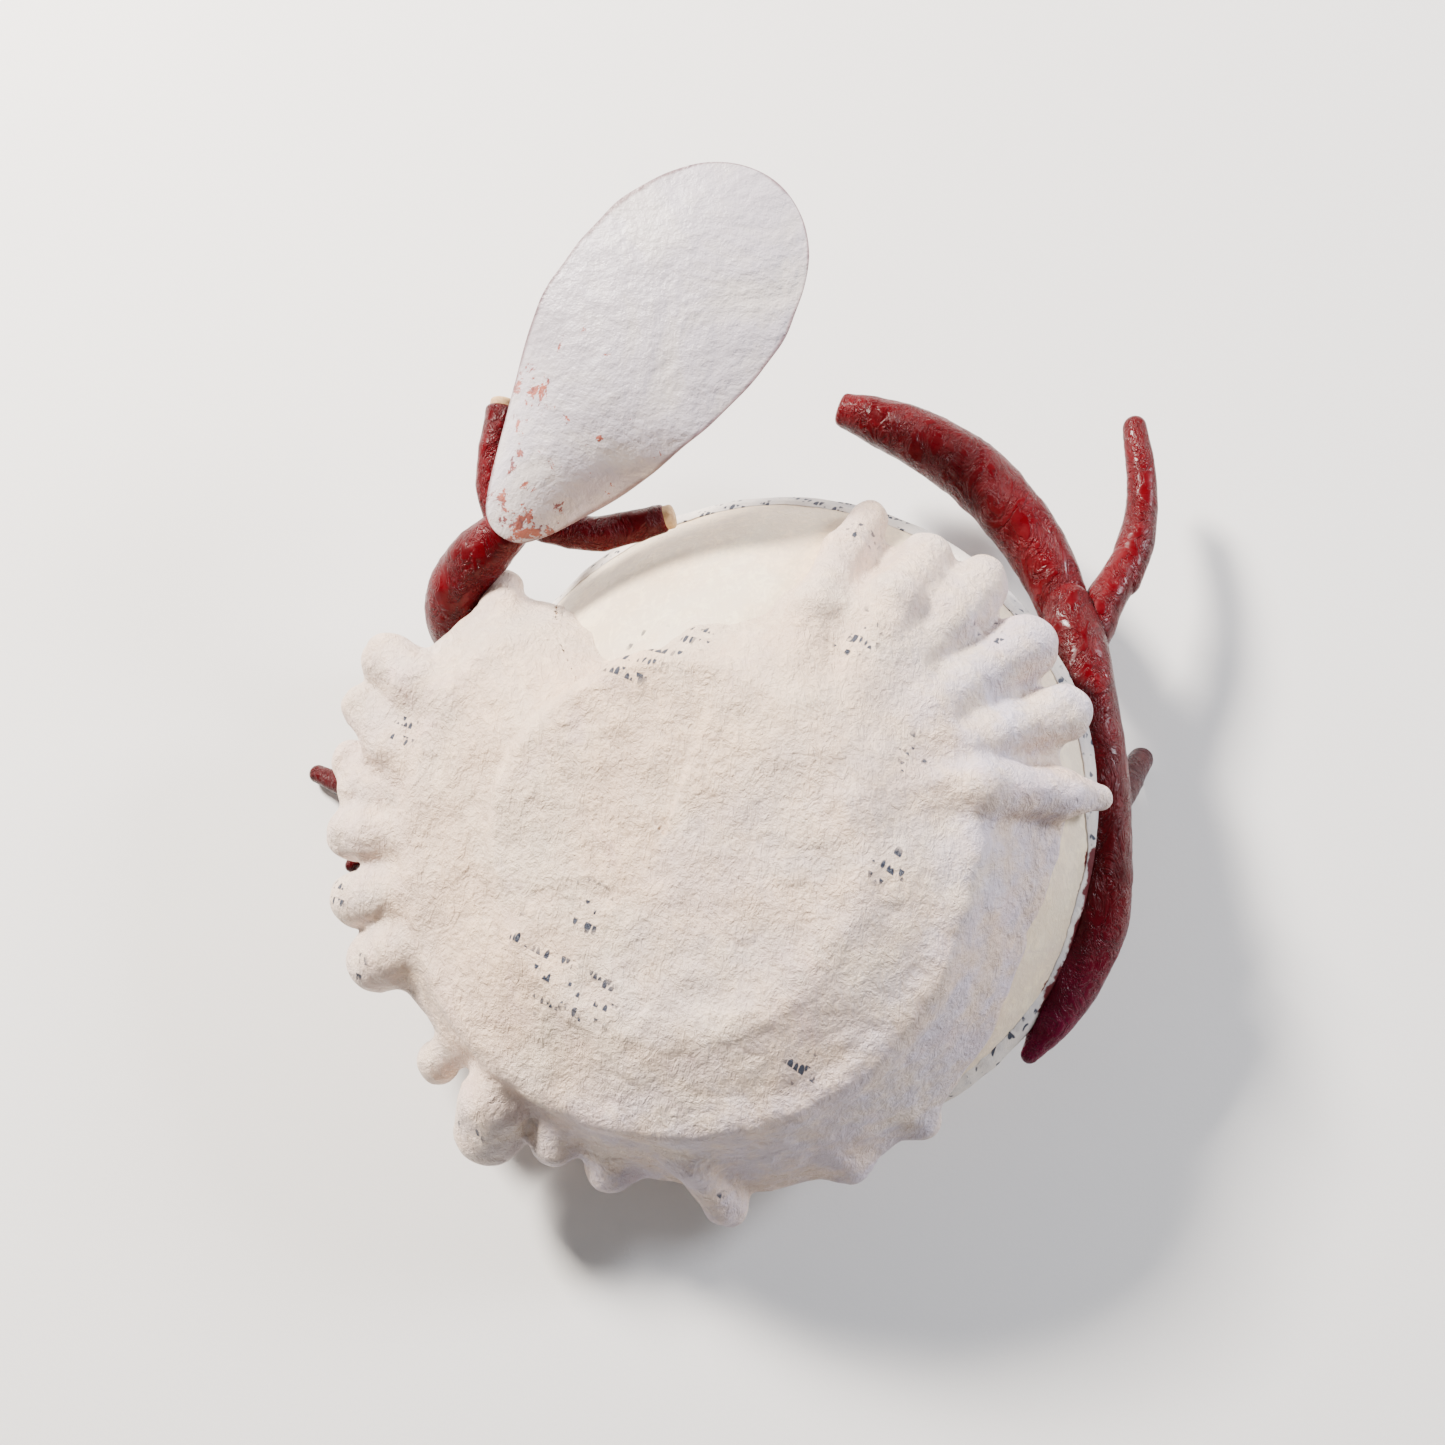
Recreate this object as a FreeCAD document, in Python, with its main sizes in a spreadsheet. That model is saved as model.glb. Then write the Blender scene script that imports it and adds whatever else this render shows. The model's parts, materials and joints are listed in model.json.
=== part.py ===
import FreeCAD, Part
import Sketcher
import math
import os

"""Papier-mache bowl sculpture, standing on its rim with its foot up.

Frame: millimetres, +Z up, origin on the floor under the middle of the whole object.
The bowl leans on its lowest rim point and on the tips of two red limbs.
The pieces are worked out in the bowl's own frame: origin at the middle of the mouth, +Z
from the mouth to the foot. The leaf is turned in the floor's frame, over its stem.
"""

Vector = FreeCAD.Vector
Rotation = FreeCAD.Rotation
Placement = FreeCAD.Placement

doc = FreeCAD.newDocument("papier_mache_bowl")

# ---------------------------------------------------------------------------
# Driving dimensions
# ---------------------------------------------------------------------------

SIZES = [
    # alias, millimetres or degrees, what it is
    ("mouth_radius", 83.0, "bowl, outside radius at the mouth"),
    ("bowl_depth", 50.0, "bowl, outside height from mouth to crown"),
    ("bowl_wall", 4.0, "bowl, wall of pasted paper"),
    ("middle_x", 0.4, "middle of the whole object, which the origin stands under"),
    ("middle_y", 2.8, "middle of the whole object, which the origin stands under"),
    ("bowl_lean", 16.0, "degrees the bowl leans from upright"),
    ("lean_azimuth", 205.0, "degrees, the way it leans, from +X towards +Y"),
    ("mouth_x", 10.5, "middle of the mouth"),
    ("mouth_y", -21.0, "middle of the mouth"),
    ("rim_lift", 0.04, "lowest point of the rim above the floor"),
    ("band_width", 8.0, "strip pasted round the rim, up the wall"),
    ("band_thick", 1.2, "strip pasted round the rim, thickness"),
    ("pad_offset_x", -12.5, "foot, middle from the bowl's axis"),
    ("pad_offset_y", -6.0, "foot, middle from the bowl's axis"),
    ("pad_rise", 3.0, "foot's face above the bowl's crown"),
    ("pad_radius", 44.0, "foot's face"),
    ("pad_flare", 7.0, "how far the foot spreads where it meets the bowl"),
    ("pad_height", 31.0, "foot, from its face down to where its side ends"),
    ("pad_bevel", 3.0, "worn edge of the foot's face"),
    ("card_radius", 36.0, "stiff card in the foot"),
    ("card_thick", 1.9, "stiff card in the foot"),
    ("card_cover", 1.0, "pulp over the card"),
    ("skirt_thick", 10.0, "draped pulp round the foot, thickness"),
    ("skirt_knee", 21.0, "where the draped pulp bends down, beyond the foot's face"),
    ("toe_neck", 0.68, "times, how much thinner a toe starts than its tip"),
    ("toe_radius", 6.5, "usual toe's tip"),
    ("tip_swell", 1.04, "times, how much fuller a round tip is than its limb"),
    ("trunk_radius", 6.8, "trunk, the thick limb along the rim"),
    ("arm_radius", 7.8, "curved arm at its thickest"),
    ("slim_radius", 5.4, "slim arm at the fork"),
    ("slim_tip_radius", 4.3, "slim arm at its tip"),
    ("stub_radius", 4.0, "short limbs that touch the floor"),
    ("stem_radius", 8.2, "leaf's stem"),
    ("twig_radius", 4.3, "twigs behind the leaf"),
    ("bare_length", 2.5, "bare end of a twig"),
    ("bare_share", 0.75, "times, how much thinner a twig is where it is bare"),
    ("wire_radius", 1.0, "wire inside the limbs"),
    ("leaf_length", 108.0, "leaf, base to tip"),
    ("leaf_width", 57.0, "leaf, across its widest"),
    ("leaf_base_width", 15.0, "leaf, across its base"),
    ("leaf_thick", 3.0, "leaf, through its pasted layers"),
    ("leaf_card_thick", 1.0, "stiff card in the leaf"),
    ("leaf_margin", 4.0, "pasted edge round the leaf's card"),
    ("leaf_curve", 140.0, "leaf, radius of its domed face"),
    ("leaf_set_back", 2.0, "leaf's base from the stem's end, along -Y"),
    ("leaf_seat", 7.5, "leaf's base above the stem's end"),
    ("leaf_azimuth", 47.0, "degrees, the way the leaf points"),
    ("leaf_rise", 20.0, "degrees the leaf rises to its tip"),
    ("leaf_roll", 4.0, "degrees the leaf is turned about its length"),
]

sheet = doc.addObject("Spreadsheet::Sheet", "Sizes")
for row, (alias, value, note) in enumerate(SIZES, 1):
    sheet.set("A%d" % row, note)
    sheet.set("B%d" % row, str(value))
    sheet.setAlias("B%d" % row, alias)
doc.recompute()


def size(alias):
    return float(sheet.get(alias))


# Skirt of draped pulp: name, from and to azimuth, height at the knee, reach and
# height of the edge. Azimuths are in degrees about the foot's middle. Heights are above
# the mouth, as shares of the bowl's depth, so that they follow its wall. An edge's reach
# is from the foot's middle and beyond the mouth's radius.
SKIRTS = [
    ("skirt_left", 143.0, 209.0, 0.88, 0.0, 0.8),
    ("skirt_front", 209.0, 258.0, 0.8, -3.0, 0.6),
    ("skirt_corner", 258.0, 314.0, 0.66, 1.0, 0.28),
    ("skirt_right", -2.0, 70.0, 0.78, 2.0, 0.4),
]

# Toes: name, azimuth, reach and height of the neck, reach and height of the tip, and
# the tip's radius as a share of the usual toe's. A neck's reach is beyond the foot's
# face and a tip's is beyond the mouth's radius, both from the foot's middle.
TOES = [
    ("toe_left_1", 148.5, 18.0, 0.82, 14.0, 0.7, 0.95),
    ("toe_left_2", 157.5, 18.0, 0.83, 13.0, 0.72, 0.95),
    ("toe_left_3", 166.5, 18.0, 0.78, 15.0, 0.62, 0.85),
    ("toe_left_4", 177.0, 18.0, 0.83, 8.0, 0.74, 1.0),
    ("toe_left_5", 188.0, 18.0, 0.83, 9.0, 0.74, 1.0),
    ("toe_left_6", 199.5, 18.0, 0.82, 8.0, 0.72, 1.15),
    ("toe_front_1", 219.0, 18.0, 0.74, 9.0, 0.54, 0.85),
    ("toe_front_2", 232.5, 18.0, 0.76, 13.0, 0.56, 1.3),
    ("toe_front_3", 243.5, 18.0, 0.72, 4.0, 0.52, 0.9),
    ("toe_front_4", 253.0, 18.0, 0.7, 6.0, 0.38, 0.95),
    ("toe_front_5", 272.0, 20.0, 0.64, 11.0, 0.26, 1.05),
    ("toe_front_6", 292.0, 22.0, 0.44, 7.0, 0.09, 0.85),
    ("toe_front_7", 306.0, 22.0, 0.44, 7.0, 0.06, 0.75),
    ("toe_right_1", 62.0, 22.0, 0.58, 9.0, 0.26, 1.1),
    ("toe_right_2", 46.5, 22.0, 0.58, 12.0, 0.24, 1.15),
    ("toe_right_3", 33.5, 22.0, 0.58, 14.0, 0.22, 1.15),
    ("toe_right_4", 19.5, 22.0, 0.58, 11.0, 0.24, 1.1),
    ("toe_right_5", 5.5, 22.0, 0.58, 11.0, 0.28, 0.85),
]

# A skirt this many degrees from a toe trims it.
SKIRT_NEAR = 12.0

# Limbs: azimuth about the bowl's axis, reach beyond the mouth's radius, height above the
# mouth and the share of the limb's own radius, tip last. An arm that grows out of the
# trunk has a share of the trunk's radius at its root, so that it starts inside it.
TRUNK = [
    (30.5, 8.9, -16.2, 1.0),
    (20.8, 3.8, -13.8, 1.0),
    (3.4, 1.7, -10.5, 1.0),
    (346.6, 2.7, -8.2, 1.0),
    (329.9, 2.7, -6.2, 0.85),
    (316.1, 4.8, -3.2, 0.35),
]
ARM_CURVED = [
    (27.6, 6.9, -15.8, 0.92),
    (42.7, 14.2, -17.6, 0.9),
    (55.9, 20.1, -17.5, 1.0),
    (68.5, 25.9, -16.8, 0.9),
    (80.5, 28.5, -13.3, 0.45),
]
ARM_SLIM_LOWER = [
    (27.6, 6.9, -15.8, 0.79),
    (31.7, 16.5, -19.4, 1.0),
    (35.1, 29.8, -25.0, 0.95),
]
ARM_SLIM_UPPER = [
    (35.1, 29.8, -25.0, 1.2),
    (39.7, 42.2, -29.9, 1.1),
    (44.4, 51.7, -32.7, 1.0),
    (47.2, 57.5, -34.6, 0.9),
]
STUB_RIGHT = [
    (359.0, 0.7, -13.7, 1.0),
    (2.4, 4.5, -23.6, 1.0),
    (8.7, 11.5, -45.1, 0.9),
]
SPIKE_LEFT = [
    (180.8, -12.4, 8.7, 1.2),
    (177.1, 15.6, 12.1, 1.0),
    (173.6, 42.0, 8.3, 0.7),
]
BARB_LEFT = [
    (178.6, 15.8, 13.0, 0.8),
    (185.8, 26.3, 17.7, 0.5),
]
STEM = [
    (151.3, -3.2, 0.6, 1.0),
    (148.3, 10.8, 10.2, 1.0),
    (143.9, 13.5, 22.3, 1.0),
    (137.6, 12.9, 27.9, 0.95),
    (130.6, 10.6, 30.2, 0.75),
    (122.1, 11.8, 30.5, 0.55),
]
NUB = [
    (142.4, -11.2, 11.1, 1.4),
    (139.9, -1.6, 17.7, 1.1),
    (138.3, 4.1, 20.9, 0.8),
]
TWIG_LEFT = [
    (129.5, 13.0, 29.4, 0.8),
    (125.9, 25.3, 30.4, 1.0),
    (120.4, 38.0, 29.9, 1.0),
]
TWIG_RIGHT = [
    (127.2, 10.7, 30.2, 0.6),
    (118.3, -2.0, 24.9, 1.0),
    (105.1, -5.8, 23.4, 0.9),
]

# The leaf's base sits over this station of its stem.
LEAF_SEAT = STEM[4][:3]

# ---------------------------------------------------------------------------
# Helpers
# ---------------------------------------------------------------------------

lean_turn = math.radians(size("lean_azimuth"))
lean_axis = Vector(-math.sin(lean_turn), math.cos(lean_turn), 0)
lean = math.radians(size("bowl_lean"))
rim_drop = (size("mouth_radius") + size("band_thick")) * math.sin(lean)
mouth_lift = size("rim_lift") + rim_drop + size("band_thick") * math.cos(lean)
MIDDLE = Vector(size("middle_x"), size("middle_y"), 0)
BOWL = Placement(
    Vector(size("mouth_x"), size("mouth_y"), mouth_lift) - MIDDLE,
    Rotation(lean_axis, size("bowl_lean")),
)
FOOT = BOWL.multiply(
    Placement(Vector(size("pad_offset_x"), size("pad_offset_y"), 0), Rotation())
)

nodes = []


def keep(item, name):
    """Names a finished piece and lists it for the STEP files."""
    item.Label = name
    nodes.append(item)
    return item


def kept(*names):
    """The finished pieces of these names."""
    return [item for item in nodes if item.Label in names]


def station_point(azimuth, beyond, height):
    """A point round the bowl, so far beyond its mouth's radius and so high above it."""
    turn = math.radians(azimuth)
    reach = size("mouth_radius") + beyond
    return BOWL.multVec(Vector(reach * math.cos(turn), reach * math.sin(turn), height))


def origin_plane(body, role):
    for feature in body.Origin.OriginFeatures:
        if feature.Role == role:
            return feature
    raise ValueError(role)


def profile_sketch(body, name, points):
    """Closed straight-sided profile in the body's XZ plane, radius by height."""
    sketch = body.newObject("Sketcher::SketchObject", name)
    sketch.AttachmentSupport = [(origin_plane(body, "XZ_Plane"), "")]
    sketch.MapMode = "FlatFace"
    corners = [Vector(r, z, 0) for r, z in points]
    for start, end in zip(corners, corners[1:] + corners[:1]):
        sketch.addGeometry(Part.LineSegment(start, end))
    return sketch


def revolve(body, sketch, angle=360.0):
    turned = body.newObject("PartDesign::Revolution", sketch.Name + "_turned")
    turned.Profile = sketch
    turned.ReferenceAxis = (sketch, ["V_Axis"])
    turned.Angle = angle
    return turned


def cut(base, tools, name):
    """The base with each tool's solid taken out of it."""
    result = base
    for number, tool in enumerate(tools, 1):
        step = doc.addObject("Part::Cut", "%s_cut_%d" % (name, number))
        step.Base = result
        step.Tool = tool
        result = step
    return result


def limb(name, stations, radius_alias, round_tip=True, root_alias=None):
    """A tapering limb through its stations, each a circle square to the route.

    Each circle is turned from the one before by the bend alone, so the limb's skin
    doesn't twist. Where root_alias is given, the first circle is a share of that size.
    """
    points = [station_point(*station[:3]) for station in stations]
    circles = []
    heading = Vector(0, 0, 1)
    turn = Rotation()
    for number, point in enumerate(points):
        before = points[max(number - 1, 0)]
        after = points[min(number + 1, len(points) - 1)]
        turn = Rotation(heading, after - before).multiply(turn)
        heading = after - before
        circle = doc.addObject("Part::Circle", "%s_ring_%d" % (name, number + 1))
        circle.Placement = Placement(point, turn)
        share = stations[number][3]
        alias = radius_alias if number else root_alias or radius_alias
        circle.setExpression("Radius", "Sizes.%s * %.3f" % (alias, share))
        circles.append(circle)
    body = doc.addObject("Part::Loft", name + "_loft")
    body.Sections = circles
    body.Solid = True
    body.Ruled = False
    if not round_tip:
        return body
    tip = doc.addObject("Part::Sphere", name + "_tip")
    tip.Placement = Placement(points[-1], Rotation())
    tip.setExpression("Radius", "Sizes.%s * %.3f * Sizes.tip_swell" % (radius_alias, share))
    fused = doc.addObject("Part::Fuse", name + "_limb")
    fused.Base = body
    fused.Tool = tip
    return fused


def finger(name, ends, radius_alias, neck_share, tip_share, frame):
    """A straight finger turned about its length, from its neck to its round tip."""
    length = ends[0].distanceToPoint(ends[1])
    neck_radius = neck_share * size(radius_alias)
    radius = tip_share * size(radius_alias)
    body = doc.addObject("PartDesign::Body", name + "_blank")
    sketch = body.newObject("Sketcher::SketchObject", name + "_profile")
    sketch.AttachmentSupport = [(origin_plane(body, "XZ_Plane"), "")]
    sketch.MapMode = "FlatFace"
    tip = Part.Circle(Vector(0, length, 0), Vector(0, 0, 1), radius)
    sketch.addGeometry(Part.LineSegment(Vector(), Vector(neck_radius, 0, 0)))
    sketch.addGeometry(Part.LineSegment(Vector(neck_radius, 0, 0), Vector(radius, length, 0)))
    sketch.addGeometry(Part.ArcOfCircle(tip, 0, math.pi / 2))
    sketch.addGeometry(Part.LineSegment(Vector(0, length + radius, 0), Vector()))
    for join in ((0, 2, 1, 1), (1, 2, 2, 1), (3, 2, 0, 1), (2, 2, 3, 1), (0, 1, -1, 1)):
        sketch.addConstraint(Sketcher.Constraint("Coincident", *join))
    sketch.addConstraint(Sketcher.Constraint("Horizontal", 0))
    sketch.addConstraint(Sketcher.Constraint("Vertical", 3))
    sketch.addConstraint(Sketcher.Constraint("PointOnObject", 2, 3, -2))
    sketch.addConstraint(Sketcher.Constraint("Horizontal", 2, 3, 2, 1))
    sketch.addConstraint(Sketcher.Constraint("DistanceY", -1, 1, 2, 3, length))
    for constraint, share in (
        (Sketcher.Constraint("Radius", 2, radius), tip_share),
        (Sketcher.Constraint("DistanceX", -1, 1, 0, 2, neck_radius), neck_share),
    ):
        number = sketch.addConstraint(constraint)
        text = "Sizes.%s * %.4f" % (radius_alias, share)
        sketch.setExpression("Constraints[%d]" % number, text)
    revolve(body, sketch)
    along = Rotation(Vector(0, 0, 1), ends[1] - ends[0])
    body.Placement = frame.multiply(Placement(ends[0], along))
    return body


# ---------------------------------------------------------------------------
# White body: bowl, foot, draped pulp and toes
# ---------------------------------------------------------------------------

mouth = size("mouth_radius")
depth = size("bowl_depth")
pad_top = depth + size("pad_rise")
dome_radius = (mouth ** 2 + depth ** 2) / (2 * depth)
dome_centre = depth - dome_radius
DOME_RADIUS = "(Sizes.mouth_radius ^ 2 + Sizes.bowl_depth ^ 2) / (2 * Sizes.bowl_depth)"


def bowl_shell():
    """The bowl, one wall turned about its axis: two arcs with one centre."""
    body = doc.addObject("PartDesign::Body", "bowl_shell")
    sketch = body.newObject("Sketcher::SketchObject", "bowl_wall_profile")
    sketch.AttachmentSupport = [(origin_plane(body, "XZ_Plane"), "")]
    sketch.MapMode = "FlatFace"
    wall = size("bowl_wall")
    inner = dome_radius - wall
    centre = Vector(0, dome_centre, 0)
    outer_start = math.asin(-dome_centre / dome_radius)
    inner_start = math.asin(-dome_centre / inner)
    up = math.pi / 2
    facing = Vector(0, 0, 1)
    outer = Part.Circle(centre, facing, dome_radius)
    sketch.addGeometry(Part.ArcOfCircle(outer, outer_start, up))
    sketch.addGeometry(Part.LineSegment(Vector(0, depth, 0), Vector(0, depth - wall, 0)))
    sketch.addGeometry(Part.ArcOfCircle(Part.Circle(centre, facing, inner), inner_start, up))
    lip = Vector(inner * math.cos(inner_start), 0, 0)
    sketch.addGeometry(Part.LineSegment(lip, Vector(mouth, 0, 0)))
    for join in ((0, 2, 1, 1), (1, 2, 2, 2), (2, 1, 3, 1), (3, 2, 0, 1)):
        sketch.addConstraint(Sketcher.Constraint("Coincident", *join))
    sketch.addConstraint(Sketcher.Constraint("Coincident", 0, 3, 2, 3))
    for geometry, end, axis in ((0, 3, -2), (0, 2, -2), (2, 2, -2), (0, 1, -1), (3, 1, -1)):
        sketch.addConstraint(Sketcher.Constraint("PointOnObject", geometry, end, axis))
    radius = sketch.addConstraint(Sketcher.Constraint("Radius", 0, dome_radius))
    sketch.setExpression("Constraints[%d]" % radius, DOME_RADIUS)
    across = sketch.addConstraint(Sketcher.Constraint("DistanceX", -1, 1, 0, 1, mouth))
    sketch.setExpression("Constraints[%d]" % across, "Sizes.mouth_radius")
    thick = sketch.addConstraint(Sketcher.Constraint("Distance", 1, 1, 1, 2, wall))
    sketch.setExpression("Constraints[%d]" % thick, "Sizes.bowl_wall")
    revolve(body, sketch)
    body.Placement = BOWL
    return body


def dome_blank():
    """The bowl as a filled dome, which takes the pieces round it off at its wall."""
    blank = doc.addObject("Part::Sphere", "dome_blank")
    blank.setExpression("Radius", DOME_RADIUS)
    blank.setExpression("Angle1", "asin(1 - Sizes.bowl_depth / (%s))" % DOME_RADIUS)
    blank.Placement = BOWL.multiply(Placement(Vector(0, 0, dome_centre), Rotation()))
    return blank


def rim_band(shell):
    """A strip pasted over the rim: under the lip and a little way up the wall."""
    body = doc.addObject("PartDesign::Body", "rim_band_body")
    thick = size("band_thick")
    width = size("band_width")
    lip = mouth - size("bowl_wall")
    shoulder = math.sqrt(dome_radius ** 2 - (width - dome_centre) ** 2)
    middle = size("bowl_wall") / 2
    points = [
        (lip, -thick),
        (mouth + thick, -thick),
        (mouth + thick, 0),
        (shoulder + thick, width),
        (shoulder - middle, width),
        (mouth - middle, 0),
        (lip, 0),
    ]
    revolve(body, profile_sketch(body, "rim_band_profile", points))
    body.Placement = BOWL
    return cut(body, [shell], "rim_band")


def foot_card():
    """Round of stiff card inside the foot, just under its face."""
    card = doc.addObject("Part::Cylinder", "foot_card")
    card.setExpression("Radius", "Sizes.card_radius")
    card.setExpression("Height", "Sizes.card_thick")
    lift = pad_top - size("card_cover") - size("card_thick")
    card.Placement = FOOT.multiply(Placement(Vector(0, 0, lift), Rotation()))
    return card


def foot_blank():
    """The foot before the bowl and the card are taken out of it."""
    body = doc.addObject("PartDesign::Body", "foot_blank")
    radius = size("pad_radius")
    root = pad_top - size("pad_height")
    bevel = size("pad_bevel")
    points = [
        (0, root),
        (radius + size("pad_flare"), root),
        (radius + bevel / 2, pad_top - bevel),
        (radius, pad_top),
        (0, pad_top),
    ]
    revolve(body, profile_sketch(body, "foot_profile", points))
    body.Placement = FOOT
    return body


def skirt_blank(name, start, end, knee_height, edge_beyond, edge_height):
    """A wedge of draped pulp, turned part of the way round the foot."""
    body = doc.addObject("PartDesign::Body", name + "_blank")
    inside = size("pad_radius") - size("pad_bevel")
    top = pad_top - size("pad_bevel")
    thick = size("skirt_thick")
    knee = size("pad_radius") + size("skirt_knee")
    knee_height *= depth
    edge_reach = mouth + edge_beyond
    edge_height *= depth
    points = [
        (inside, top),
        (knee, knee_height),
        (edge_reach, edge_height),
        (edge_reach, edge_height - thick / 2),
        (knee, knee_height - 2 * thick),
        (inside, top - 2 * thick),
    ]
    revolve(body, profile_sketch(body, name + "_profile", points), end - start)
    body.Placement = FOOT.multiply(Placement(Vector(), Rotation(Vector(0, 0, 1), start)))
    return body


def toe_blank(name, azimuth, neck_reach, neck_height, tip_reach, tip_height, share):
    """A toe before the pieces round it are taken out: a narrow neck, a fuller tip."""
    turn = math.radians(azimuth)
    neck_reach += size("pad_radius")
    tip_reach += mouth - share * size("toe_radius")
    ends = []
    for reach, height in ((neck_reach, neck_height), (tip_reach, tip_height)):
        ends.append(Vector(reach * math.cos(turn), reach * math.sin(turn), height * depth))
    return finger(name, ends, "toe_radius", share * size("toe_neck"), share, FOOT)


shell = keep(bowl_shell(), "bowl_shell")
dome = dome_blank()
band = keep(rim_band(shell), "rim_band")
card = keep(foot_card(), "foot_card")
foot = foot_blank()
keep(cut(foot, [dome, card], "foot_pad"), "foot_pad")

skirts = []
for name, *profile in SKIRTS:
    blank = skirt_blank(name, *profile)
    skirts.append(keep(cut(blank, [dome, band, foot], name), name))

for name, azimuth, *profile in TOES:
    blank = toe_blank(name, azimuth, *profile)
    near = [
        skirt
        for skirt, (_, start, end, *_) in zip(skirts, SKIRTS)
        if start - SKIRT_NEAR < azimuth < end + SKIRT_NEAR
    ]
    keep(cut(blank, [dome, band, foot] + near, name), name)

# ---------------------------------------------------------------------------
# Red limbs
# ---------------------------------------------------------------------------

white = [dome, band]


def wired_limb(name, stations, radius_alias, tools, root_alias=None):
    """A limb with a wire along its middle; the wire is a piece of its own."""
    wire_stations = [station[:3] + (1.0,) for station in stations[1:]]
    wire = keep(limb(name + "_wire", wire_stations, "wire_radius", round_tip=False), name + "_wire")
    blank = limb(name, stations, radius_alias, root_alias=root_alias)
    return keep(cut(blank, [wire] + tools, name), name)


def plain_limb(name, stations, radius_alias, tools, round_tip=True, root_alias=None):
    """A limb with no wire of its own."""
    blank = limb(name, stations, radius_alias, round_tip, root_alias)
    return keep(cut(blank, tools, name), name)


right_toes = kept(*["toe_right_%d" % number for number in range(1, 6)])
trunk = wired_limb("trunk", TRUNK, "trunk_radius", white + right_toes)
arm_curved = wired_limb("arm_curved", ARM_CURVED, "arm_radius", [trunk], "trunk_radius")
arm_slim_lower = plain_limb(
    "arm_slim_lower",
    ARM_SLIM_LOWER,
    "slim_radius",
    [trunk, arm_curved],
    round_tip=False,
    root_alias="trunk_radius",
)
wired_limb("arm_slim_upper", ARM_SLIM_UPPER, "slim_tip_radius", [arm_slim_lower])
plain_limb("stub_right", STUB_RIGHT, "stub_radius", white + [trunk])
spike_left = plain_limb("spike_left", SPIKE_LEFT, "stub_radius", white)
barb_ends = [station_point(*station[:3]) for station in BARB_LEFT]
barb_shares = [station[3] for station in BARB_LEFT]
barb_blank = finger("barb_left", barb_ends, "stub_radius", *barb_shares, Placement())
keep(cut(barb_blank, [spike_left], "barb_left"), "barb_left")

# ---------------------------------------------------------------------------
# Leaf with its stem and twigs
# ---------------------------------------------------------------------------


LEAF = Placement(
    station_point(*LEAF_SEAT) + Vector(0, -size("leaf_set_back"), size("leaf_seat")),
    Rotation(size("leaf_azimuth"), -size("leaf_rise"), size("leaf_roll")),
)


def leaf_outline(name, inset):
    """Upright prism of the leaf's outline: two round ends and their tangents."""
    body = doc.addObject("PartDesign::Body", name)
    sketch = body.newObject("Sketcher::SketchObject", name + "_sketch")
    sketch.AttachmentSupport = [(origin_plane(body, "XY_Plane"), "")]
    sketch.MapMode = "FlatFace"
    reach = size("leaf_curve") / 4
    sketch.AttachmentOffset = Placement(Vector(0, 0, -reach), Rotation())
    base_centre = size("leaf_base_width") / 2
    tip_centre = size("leaf_length") - size("leaf_width") / 2
    base_radius = base_centre - inset
    tip_radius = size("leaf_width") / 2 - inset
    slope = math.asin((tip_radius - base_radius) / (tip_centre - base_centre))
    side = math.pi / 2 + slope
    facing = Vector(0, 0, 1)
    base = Part.Circle(Vector(base_centre, 0, 0), facing, base_radius)
    tip = Part.Circle(Vector(tip_centre, 0, 0), facing, tip_radius)
    tip_arc = Part.ArcOfCircle(tip, -side, side)
    base_arc = Part.ArcOfCircle(base, side, 2 * math.pi - side)
    sketch.addGeometry(tip_arc)
    sketch.addGeometry(Part.LineSegment(tip_arc.EndPoint, base_arc.StartPoint))
    sketch.addGeometry(base_arc)
    sketch.addGeometry(Part.LineSegment(base_arc.EndPoint, tip_arc.StartPoint))
    for join in ((0, 2, 1, 1), (1, 2, 2, 1), (2, 2, 3, 1), (3, 2, 0, 1)):
        sketch.addConstraint(Sketcher.Constraint("Tangent", *join))
    for geometry in (0, 2):
        sketch.addConstraint(Sketcher.Constraint("PointOnObject", geometry, 3, -1))
    inset_text = " - Sizes.leaf_margin" if inset else ""
    drivers = [
        (Sketcher.Constraint("Radius", 0, tip_radius), "Sizes.leaf_width / 2" + inset_text),
        (Sketcher.Constraint("Radius", 2, base_radius), "Sizes.leaf_base_width / 2" + inset_text),
        (
            Sketcher.Constraint("DistanceX", -1, 1, 0, 3, tip_centre),
            "Sizes.leaf_length - Sizes.leaf_width / 2",
        ),
        (Sketcher.Constraint("DistanceX", -1, 1, 2, 3, base_centre), "Sizes.leaf_base_width / 2"),
    ]
    for constraint, expression in drivers:
        number = sketch.addConstraint(constraint)
        sketch.setExpression("Constraints[%d]" % number, expression)
    pad = body.newObject("PartDesign::Pad", name + "_pad")
    pad.Profile = sketch
    pad.Length = 2 * reach
    body.Placement = LEAF
    return body


def domed_sheet(name, depth_from_face, thick_alias, inset):
    """A sheet of the leaf's domed form, cut to the leaf's outline."""
    half_chord = size("leaf_length") / 2
    drop = -math.sqrt(size("leaf_curve") ** 2 - half_chord ** 2)
    balls = []
    for part_name, radius in (
        ("outer", "Sizes.leaf_curve - %s" % depth_from_face),
        ("inner", "Sizes.leaf_curve - %s - Sizes.%s" % (depth_from_face, thick_alias)),
    ):
        ball = doc.addObject("Part::Sphere", "%s_%s" % (name, part_name))
        ball.setExpression("Radius", radius)
        ball.Placement = LEAF.multiply(Placement(Vector(half_chord, 0, drop), Rotation()))
        balls.append(ball)
    form = doc.addObject("Part::Common", name + "_form")
    form.Base = cut(balls[0], [balls[1]], name + "_skin")
    form.Tool = leaf_outline(name + "_outline", inset)
    return form


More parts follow.
